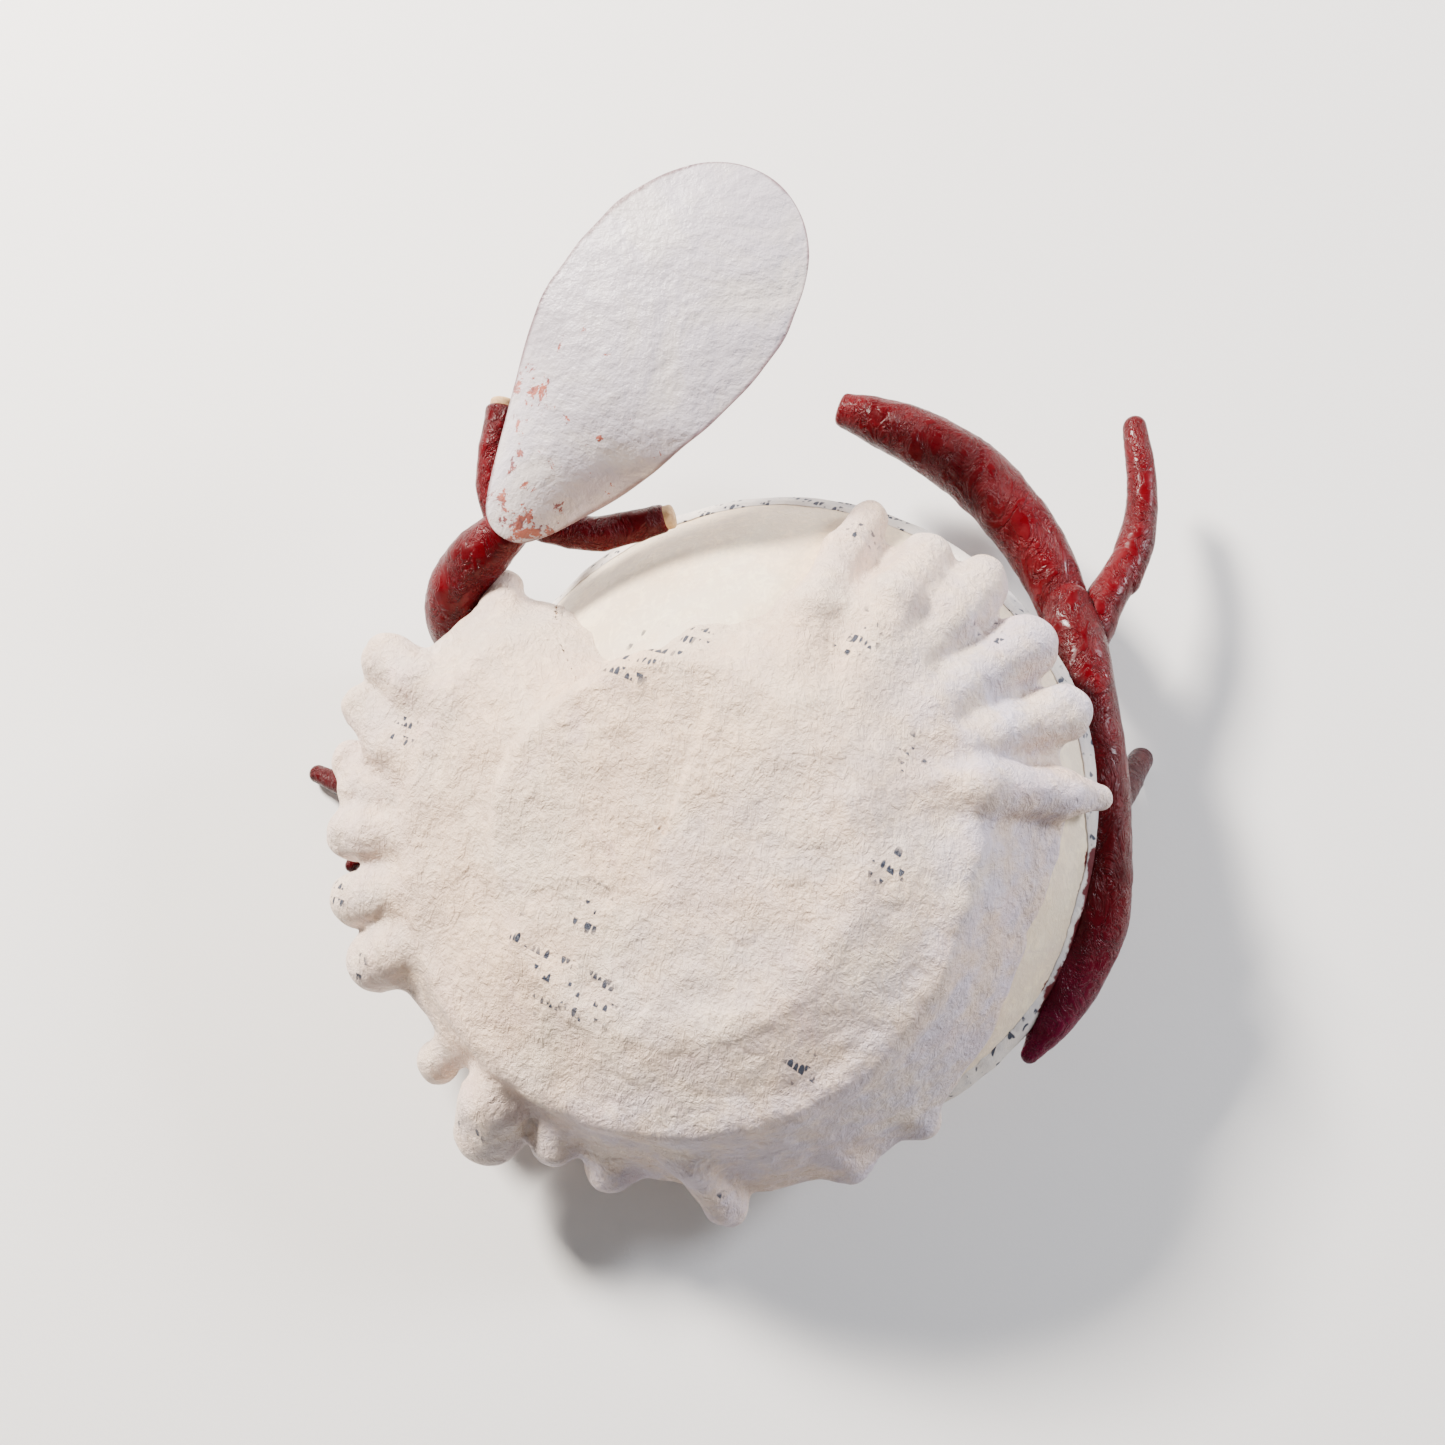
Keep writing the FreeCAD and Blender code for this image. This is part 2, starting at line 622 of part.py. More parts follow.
def bare_end(name, stations):
    """The bare end of a twig, a short peg where the red paper stops."""
    before, last = [station_point(*station[:3]) for station in stations[-2:]]
    peg = doc.addObject("Part::Cylinder", name)
    peg.setExpression("Radius", "Sizes.twig_radius * Sizes.bare_share * %.3f" % stations[-1][3])
    peg.setExpression("Height", "Sizes.bare_length")
    peg.Placement = Placement(last, Rotation(Vector(0, 0, 1), last - before))
    return peg


half_cover = "(Sizes.leaf_thick - Sizes.leaf_card_thick) / 2"
leaf_card = keep(
    domed_sheet("leaf_card", half_cover, "leaf_card_thick", size("leaf_margin")), "leaf_card"
)
leaf_blank = domed_sheet("leaf_blade", "0", "leaf_thick", 0.0)
leaf_blade = keep(cut(leaf_blank, [leaf_card], "leaf_blade"), "leaf_blade")

near_toes = kept("toe_left_1", "toe_left_2", "toe_left_3")
leaf_tools = [dome, band, leaf_blade] + skirts + near_toes
stem = wired_limb("stem", STEM, "stem_radius", leaf_tools)
nub_blank = limb("stem_nub", NUB, "toe_radius")
keep(cut(nub_blank, leaf_tools + [foot, stem], "stem_nub"), "stem_nub")
for name, stations in (("twig_left", TWIG_LEFT), ("twig_right", TWIG_RIGHT)):
    end = keep(bare_end(name + "_end", stations), name + "_end")
    blank = limb(name, stations, "twig_radius", round_tip=False)
    keep(cut(blank, [stem, leaf_blade, end] + kept("stem_wire"), name), name)

# ---------------------------------------------------------------------------
# Build, check and write
# ---------------------------------------------------------------------------

doc.recompute()
for item in doc.Objects:
    if "Invalid" in item.State or "Error" in item.State:
        raise RuntimeError("%s failed: %s" % (item.Name, item.State))
for item in nodes:
    if item.Shape.isNull() or not item.Shape.isValid() or not item.Shape.Solids:
        raise RuntimeError("%s is not a sound solid" % item.Label)

os.makedirs("parts", exist_ok=True)
whole = FreeCAD.BoundBox()
for item in nodes:
    item.Shape.exportStep("parts/%s.step" % item.Label)
    whole.add(item.Shape.optimalBoundingBox())
    print("%-18s %9.0f mm3  %d solids" % (item.Label, item.Shape.Volume, len(item.Shape.Solids)))
print("box", whole)
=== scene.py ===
import json
import math

import bmesh
import bpy
import numpy as np
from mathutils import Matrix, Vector


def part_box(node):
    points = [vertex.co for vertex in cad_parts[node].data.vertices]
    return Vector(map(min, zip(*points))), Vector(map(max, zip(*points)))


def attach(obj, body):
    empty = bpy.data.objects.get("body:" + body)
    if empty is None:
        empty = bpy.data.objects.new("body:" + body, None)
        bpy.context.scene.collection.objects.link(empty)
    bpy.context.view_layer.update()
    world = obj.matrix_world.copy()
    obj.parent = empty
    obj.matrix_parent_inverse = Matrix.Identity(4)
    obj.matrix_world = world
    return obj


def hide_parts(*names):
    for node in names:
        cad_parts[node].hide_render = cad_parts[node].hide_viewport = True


# Papier-mache bowl sculpture, turned over on its rim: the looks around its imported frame.

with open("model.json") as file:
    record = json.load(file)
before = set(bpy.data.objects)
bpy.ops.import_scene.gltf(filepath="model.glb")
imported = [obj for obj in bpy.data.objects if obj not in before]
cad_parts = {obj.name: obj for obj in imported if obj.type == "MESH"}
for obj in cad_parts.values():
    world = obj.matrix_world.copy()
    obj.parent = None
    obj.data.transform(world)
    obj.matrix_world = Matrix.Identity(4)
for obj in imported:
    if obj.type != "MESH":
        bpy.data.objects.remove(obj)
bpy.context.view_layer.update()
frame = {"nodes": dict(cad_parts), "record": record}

bl_info = {
    "name": "Papier-mache bowl sculpture",
    "version": (1, 0, 0),
    "blender": (4, 5, 0),
    "location": "View3D > Sidebar > Sculpture",
    "description": "Builds the pulp, paper and paint of a turned-over bowl with limbs and a leaf",
    "category": "Object",
}

MM = 0.001
TAU = 2 * math.pi
BODY = "root"

# ---------------------------------------------------------------------------
# Sizes and colours that a user would change
# ---------------------------------------------------------------------------


def length_prop(label, text, millimetres):
    """A length in metres whose default is given in millimetres."""
    return bpy.props.FloatProperty(
        name=label, description=text, default=millimetres * MM, unit="LENGTH", min=0.0
    )


def colour_prop(label, text, value):
    """A linear colour."""
    return bpy.props.FloatVectorProperty(
        name=label, description=text, default=value, subtype="COLOR", size=3, min=0.0, max=1.0
    )


class SculptureSizes(bpy.types.PropertyGroup):
    """Lengths of the bowl and its pulp, in the bowl's own frame."""

    mouth_radius: length_prop("Mouth radius", "Outside radius of the bowl at its rim", 83.0)
    bowl_depth: length_prop("Bowl depth", "Outside height of the bowl", 50.0)
    bowl_wall: length_prop("Bowl wall", "Wall of pasted paper", 4.0)
    foot_height: length_prop("Foot height", "Foot's face above the mouth", 53.0)
    foot_radius: length_prop("Foot radius", "Radius of the foot's face", 44.5)
    foot_back: length_prop("Foot offset back", "Foot's middle from the bowl's axis, along -X", 12.5)
    foot_side: length_prop("Foot offset side", "Foot's middle from the bowl's axis, along -Y", 6.0)
    lump_height: length_prop("Pulp lumps", "How far the pulp's lumps stand up", 0.45)
    strip_width: length_prop("Rim strip", "Width of the strip pasted over the rim", 5.0)


class SculptureColours(bpy.types.PropertyGroup):
    """Paint colours."""

    pulp: colour_prop("Pulp", "Off-white paint on the pulp", (0.78, 0.61, 0.46))
    dome: colour_prop("Dome", "Cream paint on the smooth bowl", (0.84, 0.71, 0.50))
    # The lilac is painted shade and painted pearl sheen, laid where the pulp's low side and toes are.
    lilac: colour_prop("Lilac", "Cool tint where the paint is thin", (0.46, 0.46, 0.68))
    red: colour_prop("Crimson", "Gloss paint on the limbs", (0.085, 0.0, 0.0024))
    magenta: colour_prop("Magenta", "Thin paint at the trunk's end", (0.12, 0.0, 0.022))
    pearl: colour_prop("Pearl", "Pearl paint on the leaf", (0.58, 0.51, 0.49))
    ink: colour_prop("Ink", "Scraps of print left bare", (0.035, 0.04, 0.06))
    floor: colour_prop("Floor", "Paper that the object lies on", (0.80, 0.775, 0.76))


def sizes():
    """The sizes in millimetres, by name."""
    group = bpy.context.scene.sculpture_sizes
    return {name: getattr(group, name) / MM for name in group.__annotations__}


def dome_form():
    """The bowl's mouth and depth, the radius of its outer face, which is part of a ball,
    and the height of that ball's middle above the mouth, in millimetres."""
    size = sizes()
    mouth, depth = size["mouth_radius"], size["bowl_depth"]
    radius = (mouth ** 2 + depth ** 2) / (2 * depth)
    return mouth, depth, radius, depth - radius


def foot_offset():
    """The foot's middle from the bowl's axis, in the bowl's frame."""
    size = sizes()
    return np.array((-size["foot_back"], -size["foot_side"], 0.0))


# ---------------------------------------------------------------------------
# The bowl's own frame, from the foot's mount
# ---------------------------------------------------------------------------


def foot_mount():
    """The middle of the foot's face, in millimetres, and its outward normal."""
    for mount in frame["record"]["mounts"]:
        if mount["name"] == "foot_face":
            axis = np.array(mount["axis"], float)
            return np.array(mount["pos_m"], float) / MM, axis / np.linalg.norm(axis)
    raise RuntimeError("the record has no foot_face mount")


FOOT_POS, FOOT_AXIS = foot_mount()


def upright_turn(axis):
    """The smallest turn that takes +Z to the axis, as a matrix."""
    side = np.cross((0.0, 0.0, 1.0), axis)
    sine = np.linalg.norm(side)
    a, b, c = side / sine
    cross = np.array(((0, -c, b), (c, 0, -a), (-b, a, 0)))
    return np.eye(3) + sine * cross + (1 - axis[2]) * cross @ cross


BOWL_TURN = upright_turn(FOOT_AXIS)


def bowl_to_world(points):
    """Points of the bowl's frame, in millimetres, to the row's frame."""
    foot = foot_offset() + (0.0, 0.0, sizes()["foot_height"])
    return FOOT_POS + (np.asarray(points) - foot) @ BOWL_TURN.T


def world_to_bowl(points):
    """Points of the row's frame to the bowl's frame, in millimetres."""
    foot = foot_offset() + (0.0, 0.0, sizes()["foot_height"])
    return (np.asarray(points) - FOOT_POS) @ BOWL_TURN + foot


# ---------------------------------------------------------------------------
# Numbers: noise, blends and distances
# ---------------------------------------------------------------------------


def noise(points, scale, seed=0):
    """Smooth random values from -1 to 1: hashed values on a cubic lattice of the given
    spacing, blended between the eight corners by a quintic step."""
    grid = np.asarray(points, float) / scale + 512.0
    cell = np.floor(grid).astype(np.int64)
    part = grid - cell
    step = part ** 3 * (part * (part * 6 - 15) + 10)
    total = np.zeros(grid.shape[:-1])
    for corner in np.ndindex(2, 2, 2):
        at = cell + np.array(corner)
        mixed = at[..., 0] * 374761393 + at[..., 1] * 668265263 + at[..., 2] * 1440662683
        mixed = (mixed + seed * 974711) & 0xFFFFFFFF
        mixed = ((mixed ^ (mixed >> 13)) * 1274126177) & 0xFFFFFFFF
        value = (mixed ^ (mixed >> 16)) / 2.0 ** 31 - 1.0
        weight = np.where(np.array(corner, bool), step, 1 - step).prod(axis=-1)
        total += weight * value
    return total


def layered(points, scale, octaves, seed=0):
    """Noise summed over octaves, each half the size and half the height."""
    return sum(noise(points, scale / 2 ** n, seed + n) / 2 ** n for n in range(octaves))


def blend_min(a, b, soft):
    """The smaller of two distances, rounded over the width soft where they meet."""
    overlap = np.maximum(soft - np.abs(a - b), 0) / soft
    return np.minimum(a, b) - overlap ** 2 * soft / 4


def smooth_step(low, high, value):
    """0 below low, 1 above high, and a smooth rise between."""
    share = np.clip((value - low) / (high - low), 0, 1)
    return share * share * (3 - 2 * share)


def round_segment(points, start, end, start_radius, end_radius):
    """Distance to a straight finger with round ends whose radius changes evenly."""
    start = np.asarray(start, float)
    along = np.asarray(end, float) - start
    share = np.clip((points - start) @ along / (along @ along), 0, 1)
    gap = points - start - share[..., None] * along
    return np.sqrt((gap ** 2).sum(-1)) - start_radius - share * (end_radius - start_radius)


def slopes(field, points, step=0.15):
    """The field's unit gradient, by four samples on a tetrahedron round each point."""
    total = np.zeros(points.shape)
    for corner in ((1, -1, -1), (-1, -1, 1), (-1, 1, -1), (1, 1, 1)):
        way = np.array(corner, float)
        total += way * field(points + way * step)[..., None]
    return total / np.maximum(np.linalg.norm(total, axis=-1, keepdims=True), 1e-9)


# ---------------------------------------------------------------------------
# Meshes
# ---------------------------------------------------------------------------


def grid_faces(rows, columns, first=0):
    """Quads of a grid whose points are numbered row by row."""
    index = first + np.arange(rows * columns).reshape(rows, columns)
    quads = np.stack((index[:-1, :-1], index[:-1, 1:], index[1:, 1:], index[1:, :-1]), -1)
    return quads.reshape(-1, 4)


def make_piece(name, points, faces, material, replaces=(), values=None, normals=None):
    """A mesh object from points in millimetres of the row's frame, riding on the body.

    values holds one number per point for each named attribute. Points that coincide are
    merged, which closes poles and seams, and the normals are put back on afterwards.
    """
    mesh = bpy.data.meshes.new(name)
    mesh.from_pydata((points * MM).astype(np.float32), [], faces.tolist())
    for label, numbers in (values or {}).items():
        layer = mesh.attributes.new(label, "FLOAT", "POINT")
        layer.data.foreach_set("value", np.ascontiguousarray(numbers, np.float32))
    mesh.materials.append(material)
    piece = bpy.data.objects.new(name, mesh)
    bpy.context.scene.collection.objects.link(piece)
    clean_mesh(mesh, normals is None)
    mesh.shade_smooth()
    if normals is not None:
        place = np.empty(len(mesh.vertices) * 3, np.float32)
        mesh.vertices.foreach_get("co", place)
        mesh.normals_split_custom_set_from_vertices(normals(place.reshape(-1, 3) / MM, mesh))
    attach(piece, BODY)
    if replaces:
        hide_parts(*replaces)
    return piece


def clean_mesh(mesh, turn_out):
    """Merges doubled points, drops empty faces and may turn every face outward."""
    work = bmesh.new()
    work.from_mesh(mesh)
    bmesh.ops.remove_doubles(work, verts=work.verts, dist=2e-6)
    bmesh.ops.dissolve_degenerate(work, edges=work.edges, dist=1e-7)
    if turn_out:
        bmesh.ops.recalc_face_normals(work, faces=work.faces)
    work.to_mesh(mesh)
    work.free()


def closed_shell(outer, inner):
    """Points and faces of a closed shell between two grids of the same shape.

    Edges where a grid closes on itself must hold the same points in both ends' rows or
    columns; their side walls then have no area and drop out.
    """
    rows, columns = outer.shape[:2]
    count = rows * columns
    points = np.concatenate((outer.reshape(-1, 3), inner.reshape(-1, 3)))
    faces = [grid_faces(rows, columns), grid_faces(rows, columns, count)[:, ::-1]]
    index = np.arange(count).reshape(rows, columns)
    for edge in (index[0], index[-1, ::-1], index[::-1, 0], index[:, -1]):
        wall = np.stack((edge[1:], edge[:-1], edge[:-1] + count, edge[1:] + count), -1)
        faces.append(wall)
    return points, np.concatenate(faces)


# ---------------------------------------------------------------------------
# The white body's form
# ---------------------------------------------------------------------------

# How far the pulp's own dome lies under the bowl's face, so that the bowl shows
# wherever no pulp was laid on it, and how far under it the pulp's inner skin lies.
PULP_SUNK = 1.3
PULP_INNER = 2.7

# The pulp ends this far above the mouth.
LIP_CLEAR = 0.4

# The foot's round: its worn edge, half its thickness, and how far and how often its
# outline wavers.
EDGE_ROUND = 4.5
FOOT_HALF = 15.0
FOOT_WAVER = 1.6
WAVER_LENGTH = 11.0

# The draped pulp's stroke: where its root starts beside a crisp edge of the foot and how
# much further out elsewhere, and its half thickness at the root and at the knee.
ROOT_REACH = 37.0
ROOT_BEYOND = 9.0
ROOT_HALF = 5.5
KNEE_HALF = 4.8

# How wide the joins are rounded: finger to finger, toe to pulp, the drape's two strokes,
# foot to drape, and foot to bowl where the bowl is bare and elsewhere.
FINGER_BLEND = 1.5
TOE_BLEND = 4.0
KNEE_BLEND = 3.0
DRAPE_BLEND = 5.0
CRISP_BLEND = 1.5
BARE_BLEND = 3.0
FOOT_BLEND = 12.0

# Draped pulp round the foot. Each row: azimuth, height of the root, reach and height of
# the knee, reach and height of the edge, roundness of the edge. Azimuths are degrees
# about the foot's middle, reaches are from it and heights are above the mouth, in
# millimetres.
DRAPE = [
    (5, 46.8, 65, 34.0, 87, 12.5, 3.8),
    (20, 46.5, 65, 35.0, 88, 12.5, 4.2),
    (34, 46.5, 65, 35.0, 88, 12.0, 4.6),
    (48, 45.5, 65, 35.0, 87, 12.0, 4.6),
    (60, 44.0, 65, 34.0, 84, 13.0, 4.2),
    (68, 41.0, 57, 28.0, 68, 15.0, 3.0),
    (80, 36.0, 50, 25.0, 54, 18.0, 2.5),
    (100, 36.0, 50, 25.0, 54, 18.0, 2.5),
    (115, 38.0, 52, 25.0, 60, 15.0, 2.5),
    (124, 44.0, 60, 33.0, 76, 18.0, 4.2),
    (131, 45.0, 64, 37.0, 82, 24.0, 5.0),
    (139, 45.5, 65, 40.0, 82, 31.0, 5.4),
    (147, 45.5, 65, 41.5, 84, 35.0, 5.8),
    (156, 45.5, 65, 42.0, 86, 36.5, 5.8),
    (166, 45.5, 65, 42.0, 86, 35.5, 5.8),
    (177, 46.0, 65, 42.0, 81, 37.0, 5.8),
    (188, 46.5, 65, 42.0, 81, 36.5, 5.8),
    (199, 47.0, 65, 41.5, 82, 35.5, 5.8),
    (209, 47.3, 65, 42.5, 80, 33.5, 5.8),
    (219, 47.4, 65, 43.0, 80, 30.0, 5.8),
    (232, 47.4, 65, 43.0, 80, 28.0, 5.8),
    (245, 47.4, 65, 42.0, 81, 24.0, 5.8),
    (258, 47.4, 65, 42.0, 84, 17.0, 5.4),
    (272, 47.4, 65, 41.0, 86, 12.0, 5.0),
    (281, 47.4, 65, 40.5, 87, 9.0, 5.0),
    (292, 47.4, 65, 39.5, 88, 5.5, 4.5),
    (306, 47.4, 65, 38.5, 87, 5.5, 3.8),
    (318, 47.4, 65, 38.0, 84, 11.0, 3.2),
    (330, 47.3, 65, 38.0, 82, 14.5, 2.8),
    (345, 47.2, 65, 38.0, 81, 16.5, 2.8),
    (355, 47.0, 65, 37.5, 84, 14.5, 3.2),
]

# Toes and folds, each a chain of azimuth, reach, height and radius, from its root on
# the draped pulp to its tip.
TOES = {
    "left_1": [(149, 64, 41, 4.0), (149.5, 78, 40, 6.5), (149, 89.5, 36, 7.0)],
    "left_2": [(166, 66, 41, 4.0), (162, 77, 40.5, 5.5), (157.5, 90.0, 37, 6.0)],
    "left_3": [(172, 75, 36, 5.0), (166.5, 91.5, 31, 6.2)],
    "left_3_lobe": [(170, 72, 38, 5.0), (170.5, 85.5, 34, 6.6)],
    "left_4": [(178, 68, 41, 4.0), (178, 80, 40, 6.4), (178, 85, 37.5, 6.9)],
    "left_5": [(189, 68, 41, 4.0), (189, 80, 40, 6.4), (189, 85.5, 37.5, 6.9)],
    "left_6": [(200, 68, 40, 4.0), (200, 79, 39, 7.2), (200, 84, 36.5, 7.9)],
    "front_1": [(219, 74, 32, 4.0), (219, 86.0, 27, 6.0)],
    "front_2": [(231, 66, 38, 5.0), (232, 79, 35, 8.6), (233, 87.5, 29, 9.0)],
    "front_3": [(243.5, 70, 33, 4.0), (243.5, 81, 27, 6.4)],
    "front_4": [(252.5, 72, 29, 4.0), (253, 83, 20, 6.6)],
    "front_5": [(264, 58, 36, 3.5), (269, 76, 27.5, 6.0), (272, 89, 14, 5.0), (272.3, 91.5, 12, 3.4)],
    "front_6": [(292, 76, 16, 4.0), (292, 85.5, 5, 5.5)],
    "front_7": [(306, 76, 14, 4.0), (306, 85.5, 4, 5.0)],
    "right_1": [(50, 46, 45, 5.0), (58, 62, 40, 5.6), (61, 78, 24, 6.0), (62, 90.0, 12, 4.6)],
    "right_flap": [(38, 54, 42, 5.0), (47, 74, 32, 7.0), (50, 88, 16, 7.0)],
    "right_2": [(36, 62, 37, 4.0), (39.5, 80, 24, 7.0), (41.5, 92, 12, 7.0)],
    "right_3": [(27, 66, 36, 4.0), (29.5, 91, 13, 7.6)],
    "right_4": [(17, 70, 33, 4.0), (18.0, 92, 13, 7.0)],
    "right_5": [(12, 52, 42, 4.0), (8.5, 70, 35, 6.4), (6.0, 87, 19, 6.0), (5.0, 96, 11, 3.0)],
    "nub": [(135, 62, 36, 5.0), (130, 78, 25, 5.5), (128, 83, 22, 4.6)],
}

# A toe shapes the pulp this many degrees either side, and only past this reach.
TOE_SPREAD = 26.0
TOE_START = 35

DRAPE_STEP = 0.5
DRAPE_WINDOW = 19


def drape_table():
    """The drape's knots blended round the circle, one row each half degree."""
    fine = np.arange(0, 360, DRAPE_STEP)
    knots = np.array(DRAPE, float)
    full = np.array((360, 0, 0, 0, 0, 0, 0))
    wrapped = np.concatenate((knots - full, knots, knots + full))
    window = np.hanning(DRAPE_WINDOW)
    window /= window.sum()
    half = DRAPE_WINDOW // 2
    columns = []
    for column in range(1, knots.shape[1]):
        row = np.interp(fine, wrapped[:, 0], wrapped[:, column])
        row = np.convolve(np.concatenate((row[-half:], row, row[:half])), window, "valid")
        columns.append(row)
    return fine, columns


FINE_AZIMUTH, DRAPE_COLUMNS = drape_table()


def drape_at(azimuth):
    """The drape's columns at each azimuth."""
    return [np.interp(azimuth, FINE_AZIMUTH, column, period=360) for column in DRAPE_COLUMNS]


def turned(points):
    """Azimuth in degrees and reach of points, about the foot's axis."""
    x, y = points[..., 0], points[..., 1]
    return np.degrees(np.arctan2(y, x)) % 360, np.hypot(x, y)


def polar(azimuth, reach, height):
    """A point of the foot's cylindrical frame in plain coordinates."""
    turn = np.radians(azimuth)
    return np.stack(np.broadcast_arrays(reach * np.cos(turn), reach * np.sin(turn), height), -1)


def chain_distance(points, stations):
    """Distance to a chain of round-ended fingers."""
    ends = [(polar(*station[:3]), station[3]) for station in stations]
    best = None
    for (start, start_radius), (end, end_radius) in zip(ends, ends[1:]):
        gap = round_segment(points, start, end, start_radius, end_radius)
        best = gap if best is None else blend_min(best, gap, FINGER_BLEND)
    return best


def pulp_field():
    """A function that gives the distance from the pulp's face, in the foot's frame.

    The foot is a flat round with a rounded edge; the draped pulp is two round-ended
    strokes in each upright plane through the foot's axis; the toes are chains of
    fingers; the dome is a sphere cut off at the mouth. All are blended softly.
    """
    size = sizes()
    _, _, dome_radius, dome_middle = dome_form()
    dome_centre = -foot_offset() + (0.0, 0.0, dome_middle)

    def disc_gap(azimuth, reach, height):
        wobble = noise(polar(azimuth, 20.0, 0.0), WAVER_LENGTH, 5) * FOOT_WAVER
        across = reach - (size["foot_radius"] - EDGE_ROUND + wobble)
        up = np.abs(height - (size["foot_height"] - FOOT_HALF)) - (FOOT_HALF - EDGE_ROUND)
        gap = np.hypot(np.maximum(across, 0), np.maximum(up, 0))
        return gap + np.minimum(np.maximum(across, up), 0) - EDGE_ROUND

    def drape_gap(azimuth, reach, height, crisp):
        root_height, knee_reach, knee_height, edge_reach, edge_height, edge_half = drape_at(azimuth)
        flat = np.stack((reach, height), -1)
        root = np.stack((ROOT_REACH + ROOT_BEYOND * (1 - crisp), root_height), -1)
        knee = np.stack((knee_reach, knee_height), -1)
        edge = np.stack((edge_reach - edge_half, edge_height), -1)
        strokes = []
        for start, end, r0, r1 in ((root, knee, ROOT_HALF, KNEE_HALF), (knee, edge, KNEE_HALF, edge_half)):
            along = end - start
            share = ((flat - start) * along).sum(-1) / (along ** 2).sum(-1)
            share = np.clip(share, 0, 1)
            gap = np.linalg.norm(flat - start - share[..., None] * along, axis=-1)
            strokes.append(gap - (r0 + share * (r1 - r0)))
        return blend_min(*strokes, KNEE_BLEND)

    def field(points):
        dome = np.linalg.norm(points - dome_centre, axis=-1) - dome_radius + PULP_SUNK
        dome = np.maximum(dome, LIP_CLEAR - points[..., 2])
        azimuth, reach = turned(points)
        crisp = smooth_step(78, 105, azimuth) * (1 - smooth_step(200, 222, azimuth))
        bare = smooth_step(66, 78, azimuth) * (1 - smooth_step(112, 124, azimuth))
        disc = disc_gap(azimuth, reach, points[..., 2])
        drape = drape_gap(azimuth, reach, points[..., 2], crisp)
        result = blend_min(disc, dome, BARE_BLEND + (FOOT_BLEND - BARE_BLEND) * (1 - bare))
        result = blend_min(result, drape, DRAPE_BLEND - (DRAPE_BLEND - CRISP_BLEND) * crisp)
        for stations in TOES.values():
            turn = abs((azimuth - stations[-1][0] + 180) % 360 - 180)
            near = (turn < TOE_SPREAD) & (reach > TOE_START)
            if near.any():
                gap = chain_distance(points[near], stations)
                result[near] = blend_min(result[near], gap, TOE_BLEND)
        return result

    return field


# ---------------------------------------------------------------------------
# A skin round the pulp's form
# ---------------------------------------------------------------------------

LATTICE_LOW = np.array((-104.0, -96.0, -6.0))
LATTICE_HIGH = np.array((104.0, 100.0, 58.0))
FINE_CELL = 0.78
COARSE = 4
BAND = 9.0


def lattice(field):
    """The field on a lattice: everywhere on a coarse one, and on the fine one only where
    the coarse one says that the skin is near."""
    cell = FINE_CELL
    count = np.ceil((LATTICE_HIGH - LATTICE_LOW) / (cell * COARSE)).astype(int)
    axes = [low + cell * COARSE * (np.arange(n) + 0.5) for low, n in zip(LATTICE_LOW, count)]
    coarse = field(np.stack(np.meshgrid(*axes, indexing="ij"), -1))
    values = coarse
    for axis in range(3):
        values = values.repeat(COARSE, axis)
    axes = [low + cell * (np.arange(n * COARSE) + 0.5) for low, n in zip(LATTICE_LOW, count)]
    points = np.stack(np.meshgrid(*axes, indexing="ij"), -1)
    near = np.abs(values) < BAND
    values[near] = field(points[near])
    return values, points, cell


def surface_net(values, low, cell):
    """Points and quads of the skin where the lattice's values change sign.

    Each lattice cell that the skin crosses gets one point, the mean of the places where
    its edges are crossed. Each lattice edge that is crossed gets one quad, between the
    four cells round it.
    """
    shape = np.array(values.shape)
    inside = values < 0
    corners = [np.array(c) for c in np.ndindex(2, 2, 2)]
    count = sum(inside[c[0]:shape[0] - 1 + c[0], c[1]:shape[1] - 1 + c[1],
                       c[2]:shape[2] - 1 + c[2]].astype(np.int8) for c in corners)
    cells = np.argwhere((count > 0) & (count < 8))
    total = np.zeros((len(cells), 3))
    crossed = np.zeros(len(cells))
    for axis in range(3):
        for corner in corners:
            if corner[axis]:
                continue
            far = corner.copy()
            far[axis] = 1
            a = values[tuple((cells + corner).T)]
            b = values[tuple((cells + far).T)]
            cut = (a < 0) != (b < 0)
            share = np.where(cut, a / np.where(cut, a - b, 1), 0)
            place = corner + share[:, None] * (far - corner)
            total += np.where(cut[:, None], place, 0)
            crossed += cut
    points = low + (cells + total / crossed[:, None]) * cell
    index = np.full(shape - 1, -1)
    index[tuple(cells.T)] = np.arange(len(cells))
    faces = []
    for axis in range(3):
        ahead = np.roll(inside, -1, axis)
        flips = inside != ahead
        flips[tuple(slice(None) if n != axis else slice(-1, None) for n in range(3))] = False
        edges = np.argwhere(flips)
        side, other = [n for n in range(3) if n != axis]
        edges = edges[(edges[:, side] > 0) & (edges[:, other] > 0)]
        edges = edges[(edges[:, side] < shape[side] - 1) & (edges[:, other] < shape[other] - 1)]
        quad = []
        for back_side, back_other in ((1, 1), (0, 1), (0, 0), (1, 0)):
            at = edges.copy()
            at[:, side] -= back_side
            at[:, other] -= back_other
            quad.append(index[tuple(at.T)])
        quad = np.stack(quad, -1)
        leaving = inside[tuple(edges.T)] != (axis == 1)
        faces.append(np.where(leaving[:, None], quad, quad[:, ::-1]))
    return points, np.concatenate(faces)


